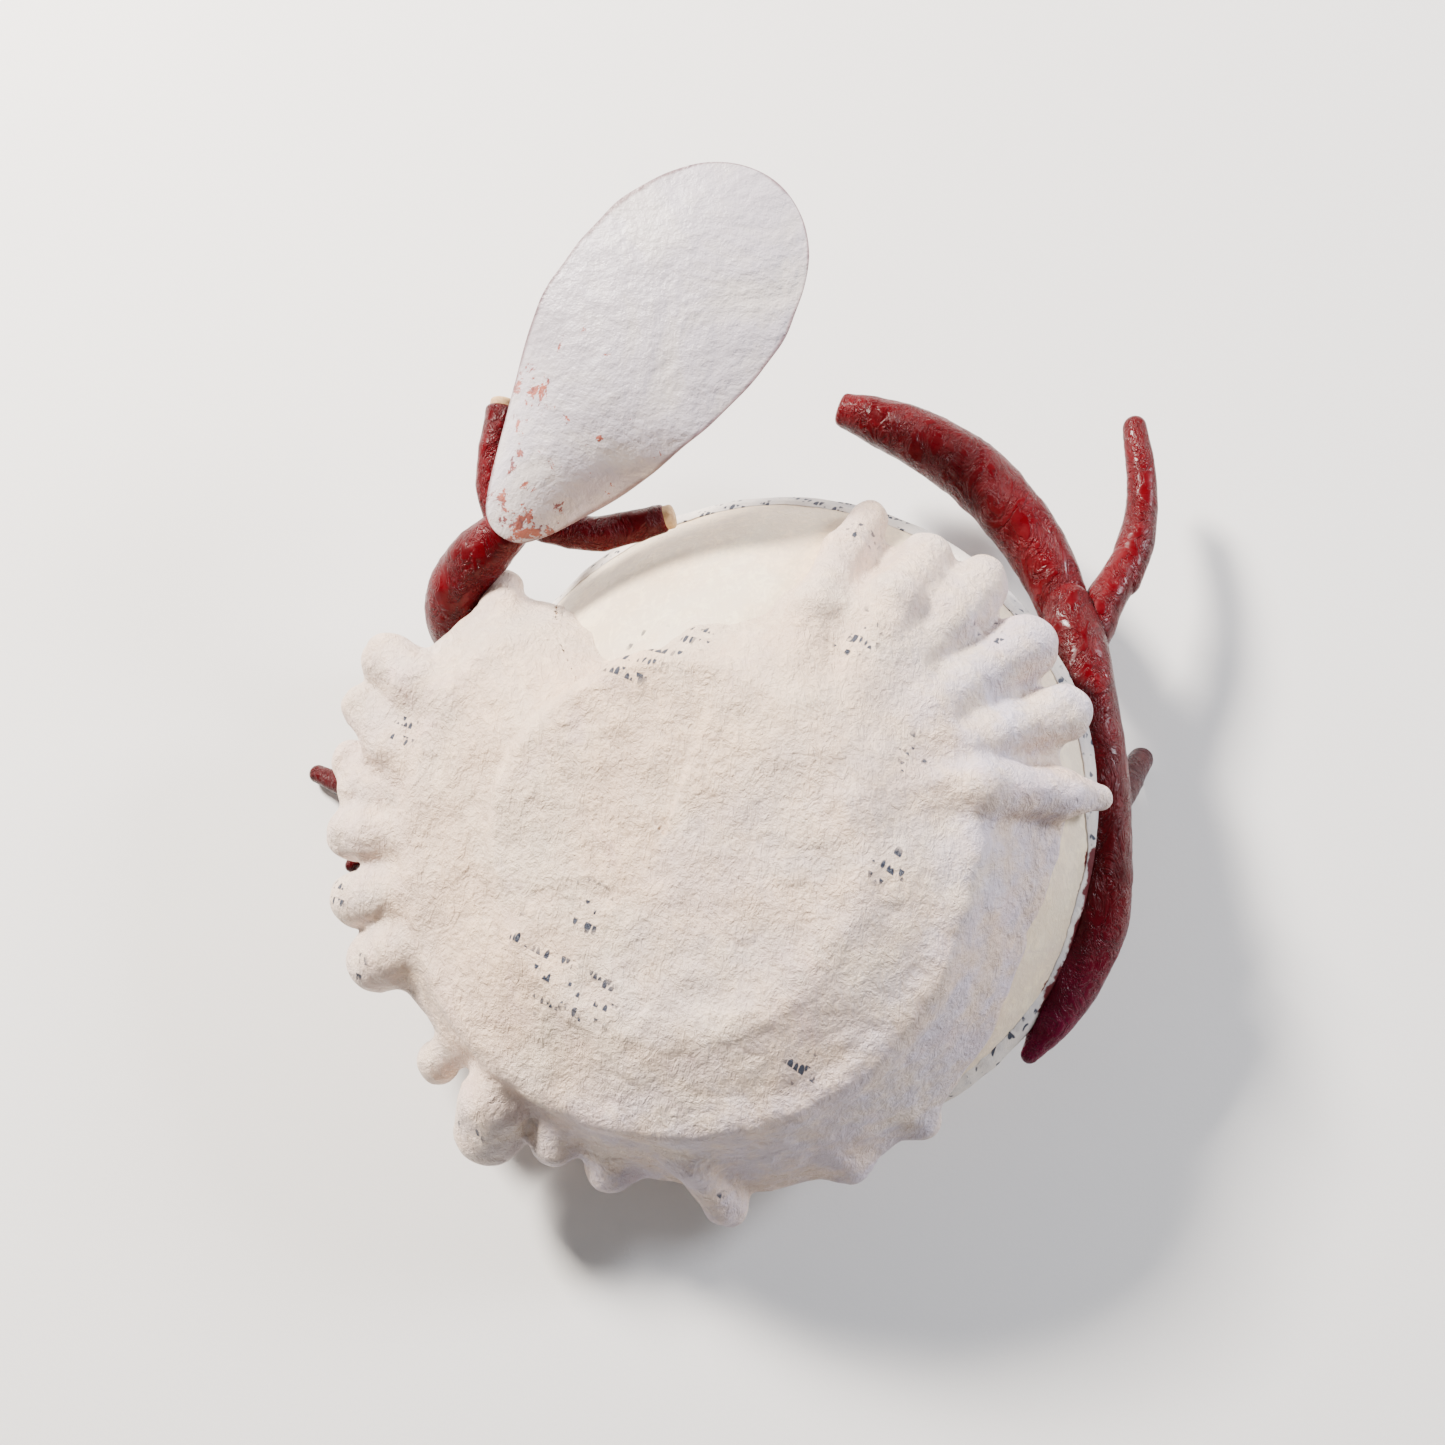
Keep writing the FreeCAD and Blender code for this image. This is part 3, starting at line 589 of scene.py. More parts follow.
def pulp_lumps(points):
    """How far the pulp stands proud of its form: soft lumps, small ones, and creases.

    Creases are the places where a slanting noise passes through nothing.
    """
    height = sizes()["lump_height"]
    slanted = points @ np.array(((0.8, -0.5, 0.1), (0.45, 0.8, 0.3), (0.0, 0.2, 0.9)))
    slanted = slanted * (1.0, 0.42, 1.0)
    crease = 1 - np.abs(noise(slanted, 5.0, 21)) * 2.2
    rough = 1.1 * noise(points, 26.0, 10) + layered(points, 12.0, 2, 11)
    rough = rough + 0.5 * noise(points, 4.4, 14)
    return height * (rough - 0.55 * np.clip(crease, 0, 1) + 0.1)


def sector(start, end, overlap=0.5):
    """A function that gives the distance outside a wedge round the foot's axis, beyond
    the foot's face. It overlaps its neighbours a little, so that no gap shows."""
    radius = sizes()["foot_radius"]

    def outside(points):
        first, last = math.radians(start), math.radians(end)
        x, y = points[..., 0], points[..., 1]
        behind = x * math.sin(first) - y * math.cos(first)
        past = y * math.cos(last) - x * math.sin(last)
        return np.maximum(np.maximum(behind, past), radius - np.hypot(x, y)) - overlap

    return outside


def foot_round(overlap=0.5):
    """A function that gives the distance outside the foot's own round."""
    radius = sizes()["foot_radius"]
    return lambda points: np.hypot(points[..., 0], points[..., 1]) - radius - overlap


def hollow():
    """A function that is positive inside the bowl, so that the pulp stays in its wall."""
    _, _, radius, height = dome_form()
    middle = -foot_offset() + (0.0, 0.0, height)
    return lambda points: radius - PULP_INNER - np.linalg.norm(points - middle, axis=-1)


# Where scraps of print show: azimuth, reach and radius of each patch.
PRINT_PATCHES = [
    (100, 44, 9), (84, 45, 7), (47, 63, 7), (17, 59, 6), (352, 51, 5), (220, 24, 7),
    (229, 43, 9), (243, 41, 8), (212, 42, 6), (164, 93, 5), (188, 88, 4), (200, 86, 4),
    (232, 88, 5), (273, 88, 4), (158, 74, 5), (300, 60, 5), (33, 86, 5), (60, 84, 4),
]


def print_cover(points):
    """1 in the middle of each patch of print and 0 outside it."""
    cover = np.zeros(len(points))
    for azimuth, reach, radius in PRINT_PATCHES:
        middle = polar(azimuth, reach, 0.0)
        gap = np.hypot(points[:, 0] - middle[0], points[:, 1] - middle[1])
        cover = np.maximum(cover, 1 - smooth_step(0.7, 1.15, gap / radius))
    return cover


def pulp_values(points, world):
    """The numbers that the pulp's paint follows, one per point."""
    azimuth, reach = turned(points)
    # The lilac amount is painted shade and painted pearl sheen: strongest on the low front and right side
    # and out on the toes.
    low_side = smooth_step(225, 265, azimuth) * (1 - smooth_step(395, 425, azimuth))
    low_side = np.maximum(low_side, 1 - smooth_step(20, 50, azimuth))
    outward = smooth_step(52, 84, reach)
    return {
        "red_gap": red_gap(world),
        "print": print_cover(points),
        "lilac_shade_sheen": np.clip(low_side * (0.35 + 0.65 * outward) + 0.35 * outward, 0, 1),
    }


def toe_nodes(side, first, last):
    """The CAD nodes of one side's toes, from the first number to the last."""
    return tuple("toe_%s_%d" % (side, number) for number in range(first, last + 1))


# Each piece of pulp: its name, the azimuths it spans, and the CAD nodes it stands for.
PULP = [
    ("pulp_foot", None, ("foot_pad",)),
    ("pulp_left", (122, 209), ("skirt_left", "stem_nub") + toe_nodes("left", 1, 6)),
    ("pulp_front", (209, 262), ("skirt_front",) + toe_nodes("front", 1, 4)),
    ("pulp_corner", (262, 345), ("skirt_corner",) + toe_nodes("front", 5, 7)),
    ("pulp_right", (345, 437), ("skirt_right",) + toe_nodes("right", 1, 5)),
    ("pulp_back", (77, 122), ()),
]

# A point this near the form, as a share of the lattice's cell, is pulled onto it, this
# many times. Then one this near it, in millimetres, gets the lumps, and one this near
# the lumpy face takes its normal from the form.
PULL_SHARE = 0.9
PULLS = 3
ON_FORM = 0.1
NEAR_FACE = 0.35
NORMAL_STEP = 0.3


def build_pulp(material):
    """The pulp in pieces: the foot and the draped pulp round it, each a closed skin."""
    field = pulp_field()
    values, points, cell = lattice(field)
    values = np.maximum(values, hollow()(points))
    values = np.maximum(values, own_field()(points))
    offset = foot_offset()

    def rough(at):
        return field(at) - pulp_lumps(at)

    def normals(place, mesh):
        own = np.empty(len(mesh.vertices) * 3, np.float32)
        mesh.vertices.foreach_get("normal", own)
        own = own.reshape(-1, 3).astype(float)
        local = world_to_bowl(place) - offset
        outer = np.abs(rough(local)) < NEAR_FACE
        own[outer] = slopes(rough, local[outer], NORMAL_STEP) @ BOWL_TURN.T
        return own

    for name, span, nodes in PULP:
        clip = foot_round() if span is None else sector(*span)
        skin, faces = surface_net(np.maximum(values, clip(points)), points[0, 0, 0], cell)
        for _ in range(PULLS):
            gap = field(skin)
            near = np.abs(gap) < cell * PULL_SHARE
            skin[near] -= slopes(field, skin[near]) * gap[near, None]
        near = np.abs(field(skin)) < ON_FORM
        way = slopes(field, skin[near])
        skin[near] += way * pulp_lumps(skin[near])[:, None]
        world = bowl_to_world(skin + offset)
        numbers = pulp_values(skin, world)
        make_piece(name, world, faces, material, nodes, numbers, normals)


# The pulp reaches this far past its own form, under the bowl's face: past the drape's
# edge, below it, and round each toe's tip.
OWN_SPREAD = 6.0
OWN_DROP = 14
OWN_TIP = 6


def own_field():
    """A function that is positive further than a few millimetres from the foot, the
    draped pulp and the toes, so that the pulp ends under the bowl's own face."""
    radius = sizes()["foot_radius"]

    def field(points):
        azimuth, reach = turned(points)
        _, _, _, edge_reach, edge_height, _ = drape_at(azimuth)
        out = np.maximum(reach - np.maximum(edge_reach, radius), 0)
        drop = np.maximum(edge_height - OWN_DROP - points[..., 2], 0)
        gap = np.hypot(out, drop)
        for stations in TOES.values():
            tip = polar(*stations[-1][:3])
            near = np.linalg.norm(points - tip, axis=-1) - stations[-1][3] - OWN_TIP
            gap = np.minimum(gap, near)
        return gap - OWN_SPREAD

    return field


# ---------------------------------------------------------------------------
# Limbs
# ---------------------------------------------------------------------------

# Each limb, by its CAD node: stations of place, as shares of that node's box, and radius
# in millimetres, root first.
LIMBS = {
    "trunk": [
        (0.52, 1.05, 0.58, 6.4), (0.58, 0.95, 0.68, 7.6), (0.63, 0.81, 0.80, 7.6),
        (0.69, 0.62, 0.88, 7.2), (0.69, 0.47, 0.86, 7.2), (0.62, 0.32, 0.72, 7.8),
        (0.44, 0.20, 0.54, 7.4), (0.26, 0.10, 0.40, 5.0), (0.10, 0.03, 0.28, 2.2),
    ],
    "arm_curved": [
        (0.92, -0.10, 0.64, 6.4), (0.87, 0.10, 0.61, 7.0), (0.79, 0.32, 0.57, 8.0),
        (0.67, 0.52, 0.53, 8.6), (0.52, 0.69, 0.48, 8.5), (0.34, 0.82, 0.42, 7.6),
        (0.17, 0.90, 0.37, 6.2), (0.07, 0.94, 0.35, 4.6),
    ],
    "arm_slim_lower": [
        (-0.24, -0.16, 0.62, 5.6), (0.04, 0.14, 0.58, 5.8), (0.26, 0.42, 0.53, 5.3),
        (0.52, 0.68, 0.46, 4.9), (0.74, 0.92, 0.38, 4.7),
    ],
    "arm_slim_upper": [
        (0.20, -0.06, 0.62, 4.7), (0.46, 0.16, 0.54, 4.9), (0.62, 0.36, 0.47, 4.3),
        (0.68, 0.56, 0.42, 4.0), (0.67, 0.76, 0.36, 3.8), (0.65, 0.93, 0.31, 3.2),
    ],
    "stub_right": [
        (0.10, 0.06, 1.02, 4.6), (0.30, 0.26, 0.85, 4.2), (0.50, 0.46, 0.62, 4.0),
        (0.70, 0.70, 0.34, 3.8), (0.85, 0.86, 0.14, 3.4),
    ],
    "spike_left": [
        (1.05, 0.19, 0.74, 4.8), (0.80, 0.31, 0.70, 4.4), (0.52, 0.45, 0.60, 4.0),
        (0.27, 0.67, 0.38, 3.4), (0.06, 0.88, 0.15, 2.5),
    ],
    "barb_left": [
        (0.80, 0.99, 0.47, 3.2), (0.52, 0.66, 0.50, 3.0), (0.30, 0.38, 0.52, 2.6),
        (0.12, 0.13, 0.55, 1.9),
    ],
    "stem": [
        (0.56, 0.12, 0.17, 8.2), (0.34, 0.24, 0.28, 8.4), (0.24, 0.37, 0.46, 8.3),
        (0.28, 0.49, 0.63, 8.0), (0.41, 0.61, 0.75, 7.4), (0.61, 0.73, 0.83, 6.2),
        (0.84, 0.88, 0.90, 4.6),
    ],
    "twig_left": [
        (0.69, -0.05, 0.29, 3.8), (0.47, 0.20, 0.38, 4.4), (0.42, 0.45, 0.46, 4.5),
        (0.50, 0.72, 0.55, 4.4), (0.59, 0.96, 0.62, 4.2),
    ],
    "twig_right": [
        (-0.06, 0.66, 0.46, 3.4), (0.18, 0.52, 0.41, 4.2), (0.46, 0.40, 0.38, 4.5),
        (0.72, 0.51, 0.51, 4.3), (0.95, 0.66, 0.66, 3.9),
    ],
}

# Red strayed onto the white only beside this far part of the trunk. Elsewhere the
# distance to it is this many millimetres.
RED_SPREAD_FROM = 0.52
FAR_AWAY = 99.0


def inside(node, shares):
    """Points at shares of a CAD node's box, in millimetres."""
    low, high = (np.array(corner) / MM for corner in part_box(node))
    return low + np.asarray(shares, float) * (high - low)


def smooth_route(stations, steps):
    """A curve through the stations: each span is the cubic whose ends head along the
    line between the stations either side of them."""
    padded = np.concatenate((2 * stations[:1] - stations[1:2], stations,
                             2 * stations[-1:] - stations[-2:-1]))
    share = np.linspace(0, 1, steps, endpoint=False)[:, None, None]
    a, b, c, d = padded[:-3], padded[1:-2], padded[2:-1], padded[3:]
    bent = (2 * b + (c - a) * share + (2 * a - 5 * b + 4 * c - d) * share ** 2
            + (3 * b - a - 3 * c + d) * share ** 3) / 2
    spans = bent.transpose(1, 0, 2).reshape(-1, stations.shape[1])
    return np.concatenate((spans, stations[-1:]))


def limb_route(name, steps=14):
    """Places and radii along a limb's middle line."""
    table = np.array(LIMBS[name])
    stations = np.concatenate((inside(name, table[:, :3]), table[:, 3:]), 1)
    route = smooth_route(stations, steps)
    return route[:, :3], route[:, 3]


def carried_frames(places):
    """A heading and two directions square to it at each place, carried along without
    twisting."""
    heading = np.gradient(places, axis=0)
    heading /= np.linalg.norm(heading, axis=1, keepdims=True)
    start = np.cross(heading[0], (0.0, 0.0, 1.0))
    side = np.empty_like(places)
    side[0] = start / np.linalg.norm(start)
    for row in range(1, len(places)):
        carried = side[row - 1] - heading[row] * (side[row - 1] @ heading[row])
        side[row] = carried / np.linalg.norm(carried)
    return heading, side, np.cross(heading, side)


def paper_skin(points, depth, seed):
    """How far a limb's pasted paper stands up: flat facets with creases between them,
    and fine wrinkles."""
    slow = noise(points, 16.0, seed)
    facet = np.abs(noise(points, 9.0, seed + 3))
    fine = np.abs(noise(points, 2.6, seed + 5))
    return depth * (0.2 + 0.5 * slow - 0.9 * facet - 0.28 * fine)


# A tip's length as a share of its radius, and the power of its radii's fall.
ROUND_TIP = (1.0, 1.0)
FLAT_TIP = (0.35, 0.45)


def tube(places, radii, around=64, cap=7, depth=0.75, seed=0, flat_tip=False):
    """A limb's skin as a grid of rows along it by columns round it.

    Each row is a circle square to the middle line. At each end further rows close it:
    their radii follow a quarter circle down to a pole. The skin then stands in and out
    along its circles' spokes by the paper's facets.
    """
    heading, side, up = carried_frames(places)
    turn = np.linspace(0, math.pi / 2, cap + 1)[1:]
    bulge, fall = FLAT_TIP if flat_tip else ROUND_TIP
    first = places[0] - heading[0] * (radii[0] * np.sin(turn[::-1]))[:, None]
    last = places[-1] + heading[-1] * (radii[-1] * bulge * np.sin(turn))[:, None]
    tip_radii = radii[-1] * np.cos(turn) ** fall
    tip_radii[-1] = 0.0
    root_radii = radii[0] * np.cos(turn[::-1])
    root_radii[0] = 0.0
    middle = np.concatenate((first, places, last))
    reach = np.concatenate((root_radii, radii, tip_radii))
    rows = [0] * cap + list(range(len(places))) + [len(places) - 1] * cap
    spin = np.linspace(0, TAU, around + 1)
    spin[-1] = 0.0
    spoke = side[rows][:, None] * np.cos(spin)[:, None] + up[rows][:, None] * np.sin(spin)[:, None]
    skin = middle[:, None] + spoke * reach[:, None, None]
    fade = np.clip(reach / radii.min(), 0, 1)[:, None]
    skin += spoke * (paper_skin(skin, depth, seed) * fade)[..., None]
    share = np.zeros(len(middle))
    share[cap:-cap] = np.linspace(0, 1, len(places))
    share[-cap:] = 1.0
    along = np.repeat(share[:, None], around + 1, 1)
    return skin, along


def red_gap(world):
    """Distance from the skin of the trunk's far part, in millimetres."""
    gap = np.full(len(world), FAR_AWAY)
    places, radii = limb_route("trunk", steps=5)
    first = int(len(places) * RED_SPREAD_FROM)
    for place, radius in zip(places[first:], radii[first:]):
        gap = np.minimum(gap, np.linalg.norm(world - place, axis=1) - radius)
    return gap


def build_limb(name, material, **shape):
    """One limb as a closed tube that stands for its CAD node of the same name."""
    places, radii = limb_route(name, 18)
    skin, along = tube(places, radii, **shape)
    rows, columns = skin.shape[:2]
    values = {"along": along.reshape(-1)}
    make_piece(name + "_paper", skin.reshape(-1, 3), grid_faces(rows, columns),
               material, (name,), values)


# ---------------------------------------------------------------------------
# Bowl, strip, leaf and bare ends
# ---------------------------------------------------------------------------


# How much lilac tint the bowl gets all over, from 0 to 1: painted shade and painted pearl sheen.
BOWL_LILAC_SHADE_SHEEN = 0.15


def build_bowl(material):
    """The bowl: one wall turned about its axis.

    The profile runs up the inner arc from the crown to the lip and back along the outer
    arc; both arcs have the same middle. Slow lumps move it in and out.
    """
    wall = sizes()["bowl_wall"]
    _, _, radius, middle = dome_form()
    rows = 110
    columns = 360
    outer_end = math.acos(-middle / radius)
    inner_end = math.acos(-middle / (radius - wall))
    outer = np.linspace(0, outer_end, rows)
    inner = np.linspace(inner_end, 0, rows)
    angle = np.concatenate((outer, inner))
    reach = np.concatenate((np.full(rows, radius), np.full(rows, radius - wall)))
    turn = np.linspace(0, TAU, columns + 1)
    turn[-1] = 0.0
    spoke = np.stack((np.cos(turn), np.sin(turn), np.zeros_like(turn)), -1)
    way = np.sin(angle)[:, None, None] * spoke + np.cos(angle)[:, None, None] * (0, 0, 1.0)
    skin = way * reach[:, None, None] + (0, 0, middle)
    lumps = 0.28 * layered(skin, 26.0, 2, 31) + 0.10 * noise(skin, 5.5, 33)
    edge = smooth_step(0, 3.0, skin[..., 2])
    skin += way * (lumps * edge)[..., None]
    flat = skin.reshape(-1, 3)
    world = bowl_to_world(flat)
    values = {
        "red_gap": red_gap(world),
        "print": print_cover(flat - foot_offset()),
        "lilac_shade_sheen": np.full(len(flat), BOWL_LILAC_SHADE_SHEEN),
    }
    make_piece("bowl_wall", world, grid_faces(2 * rows, columns + 1),
               material, ("bowl_shell",), values)


def build_strip(material):
    """The strip pasted round the rim: a thin profile under the lip and up the wall,
    carried round the bowl. Its upper edge is torn, so its height wanders."""
    size = sizes()
    mouth, _, radius, middle = dome_form()
    columns = 900
    turn = np.linspace(0, TAU, columns + 1)
    turn[-1] = 0.0
    ring = np.stack((np.cos(turn), np.sin(turn), np.zeros_like(turn)), -1) * mouth
    torn = 1 + 0.16 * layered(ring, 14.0, 3, 41) + 0.05 * noise(ring, 1.6, 45)
    share = np.linspace(0, 1, 14)
    height = share[:, None] * (size["strip_width"] * torn)
    reach = np.sqrt(radius ** 2 - (height - middle) ** 2)
    lip_rows = 5
    under = np.linspace(mouth - size["bowl_wall"], mouth, lip_rows + 1)[:-1]
    inner_reach = np.concatenate((np.repeat(under[:, None], columns + 1, 1), reach - 0.1))
    inner_height = np.concatenate((np.zeros((lip_rows, columns + 1)), height))
    thick = 0.85 + 0.25 * noise(ring, 6.0, 47)
    thin_edge = np.clip((1 - share) * 5, 0.3, 1)[:, None] * thick
    outer_reach = np.concatenate((inner_reach[:lip_rows], reach + thin_edge))
    outer_height = np.concatenate((np.repeat(-thick[None], lip_rows, 0), height))
    outer_height[lip_rows] = -thick

    def lay(reaches, heights):
        return np.stack((reaches * np.cos(turn), reaches * np.sin(turn), heights), -1)

    points, faces = closed_shell(lay(outer_reach, outer_height), lay(inner_reach, inner_height))
    world = bowl_to_world(points)
    make_piece("rim_strip", world, faces, material, ("rim_band",),
               {"red_gap": red_gap(world)})


# The leaf's base and tip as shares of its CAD node's box, its turn about its length, half
# its greatest width, the radius of the ball it is laid on, and its thickness.
LEAF_BASE = (0.03, 0.03, 0.08)
LEAF_TIP = (0.87, 0.915, 0.955)
LEAF_ROLL = math.radians(4.0)
LEAF_HALF = 27.0
LEAF_CURVE = 140.0
LEAF_THICK = 2.7

# Share of the leaf's length, and half its width there as a share of the widest.
LEAF_OUTLINE = [
    (0.0, 0.0), (0.006, 0.13), (0.022, 0.23), (0.06, 0.33), (0.15, 0.50), (0.25, 0.67),
    (0.36, 0.82), (0.50, 0.95), (0.63, 1.0), (0.75, 0.965), (0.85, 0.83), (0.925, 0.635),
    (0.97, 0.42), (0.993, 0.20), (1.0, 0.0),
]


def leaf_half_width(x, length):
    """Half the leaf's width: a smooth curve through its outline's points. The points are
    spread by the angle whose cosine gives the length, which rounds both ends."""
    outline = np.array(LEAF_OUTLINE)
    knots = np.arccos(1 - 2 * outline[:, 0])
    at = np.arccos(1 - 2 * np.clip(x / length, 0, 1))
    fine = np.linspace(0, math.pi, 401)
    half = np.interp(fine, knots, outline[:, 1])
    window = np.hanning(33)
    ends = np.concatenate((-half[16:0:-1], half, -half[-2:-18:-1]))
    half = np.convolve(ends, window / window.sum(), "valid")
    return LEAF_HALF * np.maximum(np.interp(at, fine, half), 0)


def build_leaf(material):
    """The leaf: a teardrop grid, rows along it and columns across, laid on a ball.

    Near its base it also curls down at both edges, like half a tube; its outline
    wavers a little, and its thickness falls off towards the edge.
    """
    base = inside("leaf_blade", LEAF_BASE)
    tip = inside("leaf_blade", LEAF_TIP)
    length = float(np.linalg.norm(tip - base))
    along = (tip - base) / length
    level = np.cross((0.0, 0.0, 1.0), along)
    level /= np.linalg.norm(level)
    upright = np.cross(along, level)
    across = level * math.cos(LEAF_ROLL) + upright * math.sin(LEAF_ROLL)
    face = np.cross(along, across)
    rows = 190
    columns = 110
    x = length * (1 - np.cos(np.linspace(0, math.pi, rows))) / 2
    v = np.sin(np.linspace(-math.pi / 2, math.pi / 2, columns))
    half = leaf_half_width(x, length)
    wander = 1 + 0.012 * noise(np.stack((x, x * 0, x * 0), -1), 9.0, 51)
    left = 1 + 0.012 * noise(np.stack((x, x * 0 + 40, x * 0), -1), 9.0, 52)
    wide = np.where(v[None] > 0, wander[:, None], left[:, None])
    grid_x = np.repeat(x[:, None], columns, 1)
    grid_y = v[None] * half[:, None] * wide
    flat = np.stack((grid_x, grid_y, 0 * grid_x), -1)
    drop = math.sqrt(LEAF_CURVE ** 2 - (length / 2) ** 2)
    ball = np.sqrt(LEAF_CURVE ** 2 - (grid_x - length / 2) ** 2 - grid_y ** 2) - drop
    curl = (1 - smooth_step(8, 52, grid_x)) * 0.034 * grid_y ** 2
    lift = ball - curl + 0.55 * noise(flat, 30.0, 53) + 0.12 * layered(flat, 9.0, 2, 54)
    rim = np.sqrt(1 - np.minimum(np.abs(v), 1) ** 8)[None]
    ends = np.clip(half / 6.0, 0.0, 1)[:, None]
    thick = LEAF_THICK * (0.35 + 0.65 * rim * ends)

    def lay(height):
        local = np.stack((grid_x, grid_y, height), -1)
        return base + local @ np.stack((along, across, face))

    points, faces = closed_shell(lay(lift), lay(lift - thick))
    edge = np.minimum((1 - np.abs(v))[None] * half[:, None], np.minimum(grid_x, length - grid_x))
    values = {
        "along": np.tile((grid_x / length).reshape(-1), 2),
        "across": np.tile((grid_y / LEAF_HALF).reshape(-1), 2),
        "edge": np.tile(np.maximum(edge, 0).reshape(-1), 2),
        "under": np.repeat((0.0, 1.0), rows * columns),
    }
    make_piece("leaf_blade_paper", points, faces, material,
               ("leaf_blade", "leaf_card"), values)


# A bare end's radius as a share of its twig's.
BARE_SHARE = 0.80


def build_bare_end(twig, node, material, seed):
    """A twig's bare end: a peg with a rough, blunt, slightly domed face."""
    places, radii = limb_route(twig)
    heading = places[-1] - places[-3]
    heading /= np.linalg.norm(heading)
    beyond = np.linspace(-2.0, 2.3, 8)
    line = places[-1] + heading * beyond[:, None]
    peg = np.full(len(beyond), radii[-1] * BARE_SHARE)
    skin, along = tube(line, peg, 40, 6, 0.35, seed, flat_tip=True)
    rows, columns = skin.shape[:2]
    make_piece(node + "_wood", skin.reshape(-1, 3), grid_faces(rows, columns),
               material, (node,), {"along": along.reshape(-1)})


# ---------------------------------------------------------------------------
# Materials
# ---------------------------------------------------------------------------


def feed(tree, node, inputs):
    """Sets a node's inputs, each to a number, a colour or a socket."""
    for name, value in (inputs or {}).items():
        if isinstance(value, bpy.types.NodeSocket):
            tree.links.new(value, node.inputs[name])
        else:
            node.inputs[name].default_value = value


def add(tree, kind, inputs=None, **settings):
    """A node with its settings and its inputs."""
    made = tree.nodes.new(kind)
    for name, value in settings.items():
        setattr(made, name, value)
    feed(tree, made, inputs)
    return made


def colour(value):
    return (*value, 1.0)


def blend(tree, factor, first, second):
    """The colour between two colours. A Mix node's colours are its inputs 6 and 7."""
    made = add(tree, "ShaderNodeMix", {0: factor}, data_type="RGBA")
    feed(tree, made, {6: first, 7: second})
    return made.outputs[2]


def math_node(tree, operation, first, second=0.0, third=0.0):
    inputs = {0: first, 1: second, 2: third}
    return add(tree, "ShaderNodeMath", inputs, operation=operation).outputs[0]


def ramp(tree, value, low, high, start=0.0, end=1.0):
    """A number stretched from one range to another, smoothly, and held there."""
    inputs = {"Value": value, "From Min": low, "From Max": high, "To Min": start, "To Max": end}
    made = add(tree, "ShaderNodeMapRange", inputs, interpolation_type="SMOOTHSTEP")
    return made.outputs["Result"]


def place_vector(tree, scale=(1, 1, 1)):
    """Object coordinates in metres, stretched."""
    place = add(tree, "ShaderNodeTexCoord").outputs["Object"]
    return add(tree, "ShaderNodeMapping", {"Vector": place, "Scale": scale}).outputs[0]


def grain(tree, vector, scale, detail=3.0, roughness=0.55, warp=0.0):
    """A noise from 0 to 1, so many cells to the metre."""
    inputs = {"Vector": vector, "Scale": scale, "Detail": detail, "Roughness": roughness,
              "Distortion": warp}
    return add(tree, "ShaderNodeTexNoise", inputs).outputs[0]


def attribute(tree, name):
    return add(tree, "ShaderNodeAttribute", attribute_name=name).outputs["Fac"]


def new_group(name, inputs, outputs):
    """A node group with named sockets, each given as name: (kind, default)."""
    tree = bpy.data.node_groups.new(name, "ShaderNodeTree")
    for label, (kind, default) in inputs.items():
        socket = tree.interface.new_socket(label, in_out="INPUT", socket_type=kind)
        socket.default_value = default
    for label, kind in outputs.items():
        tree.interface.new_socket(label, in_out="OUTPUT", socket_type=kind)
    return tree, tree.nodes.new("NodeGroupInput"), tree.nodes.new("NodeGroupOutput")


def group_pulp_relief():
    """Height of painted pulp: crumbs, slanting folds and a soft swell."""
    tree, _, out = new_group("Pulp relief", {}, {"Height": "NodeSocketFloat"})
    place = place_vector(tree)
    crumbs = grain(tree, place, 520.0, 5.0, 0.66)
    slant = add(tree, "ShaderNodeMapping", {"Vector": place, "Rotation": (0.0, 0.0, 0.75),
                                            "Scale": (1.0, 0.5, 0.75)}).outputs[0]
    folds = grain(tree, slant, 330.0, 4.0, 0.62, 0.9)
    folds = math_node(tree, "ABSOLUTE", math_node(tree, "SUBTRACT", folds, 0.5))
    folds = ramp(tree, folds, 0.0, 0.14)
    swell = grain(tree, place, 120.0, 3.0, 0.5)
    height = math_node(tree, "MULTIPLY_ADD", crumbs, 0.5, math_node(tree, "MULTIPLY", folds, 0.09))
    height = math_node(tree, "MULTIPLY_ADD", swell, 0.45, height)
    tree.links.new(height, out.inputs["Height"])
    return tree


def group_torn_edge():
    """A mask that is 1 where a distance is under a limit, with a torn outline."""
    tree, given, out = new_group(
        "Torn edge",
        {
            "Distance": ("NodeSocketFloat", 0.0),
            "Limit": ("NodeSocketFloat", 4.0),
            "Tear": ("NodeSocketFloat", 4.0),
            "Soft": ("NodeSocketFloat", 0.6),
        },
        {"Mask": "NodeSocketFloat"},
    )
    place = place_vector(tree)
    wide = math_node(tree, "SUBTRACT", grain(tree, place, 75.0, 6.0, 0.68), 0.5)
    moved = math_node(tree, "MULTIPLY_ADD", wide, math_node(tree, "MULTIPLY", given.outputs["Tear"], 2.6),
                      given.outputs["Distance"])
    past = math_node(tree, "SUBTRACT", given.outputs["Limit"], moved)
    share = math_node(tree, "DIVIDE", past, given.outputs["Soft"])
    tree.links.new(ramp(tree, share, -0.5, 0.5), out.inputs["Mask"])
    return tree


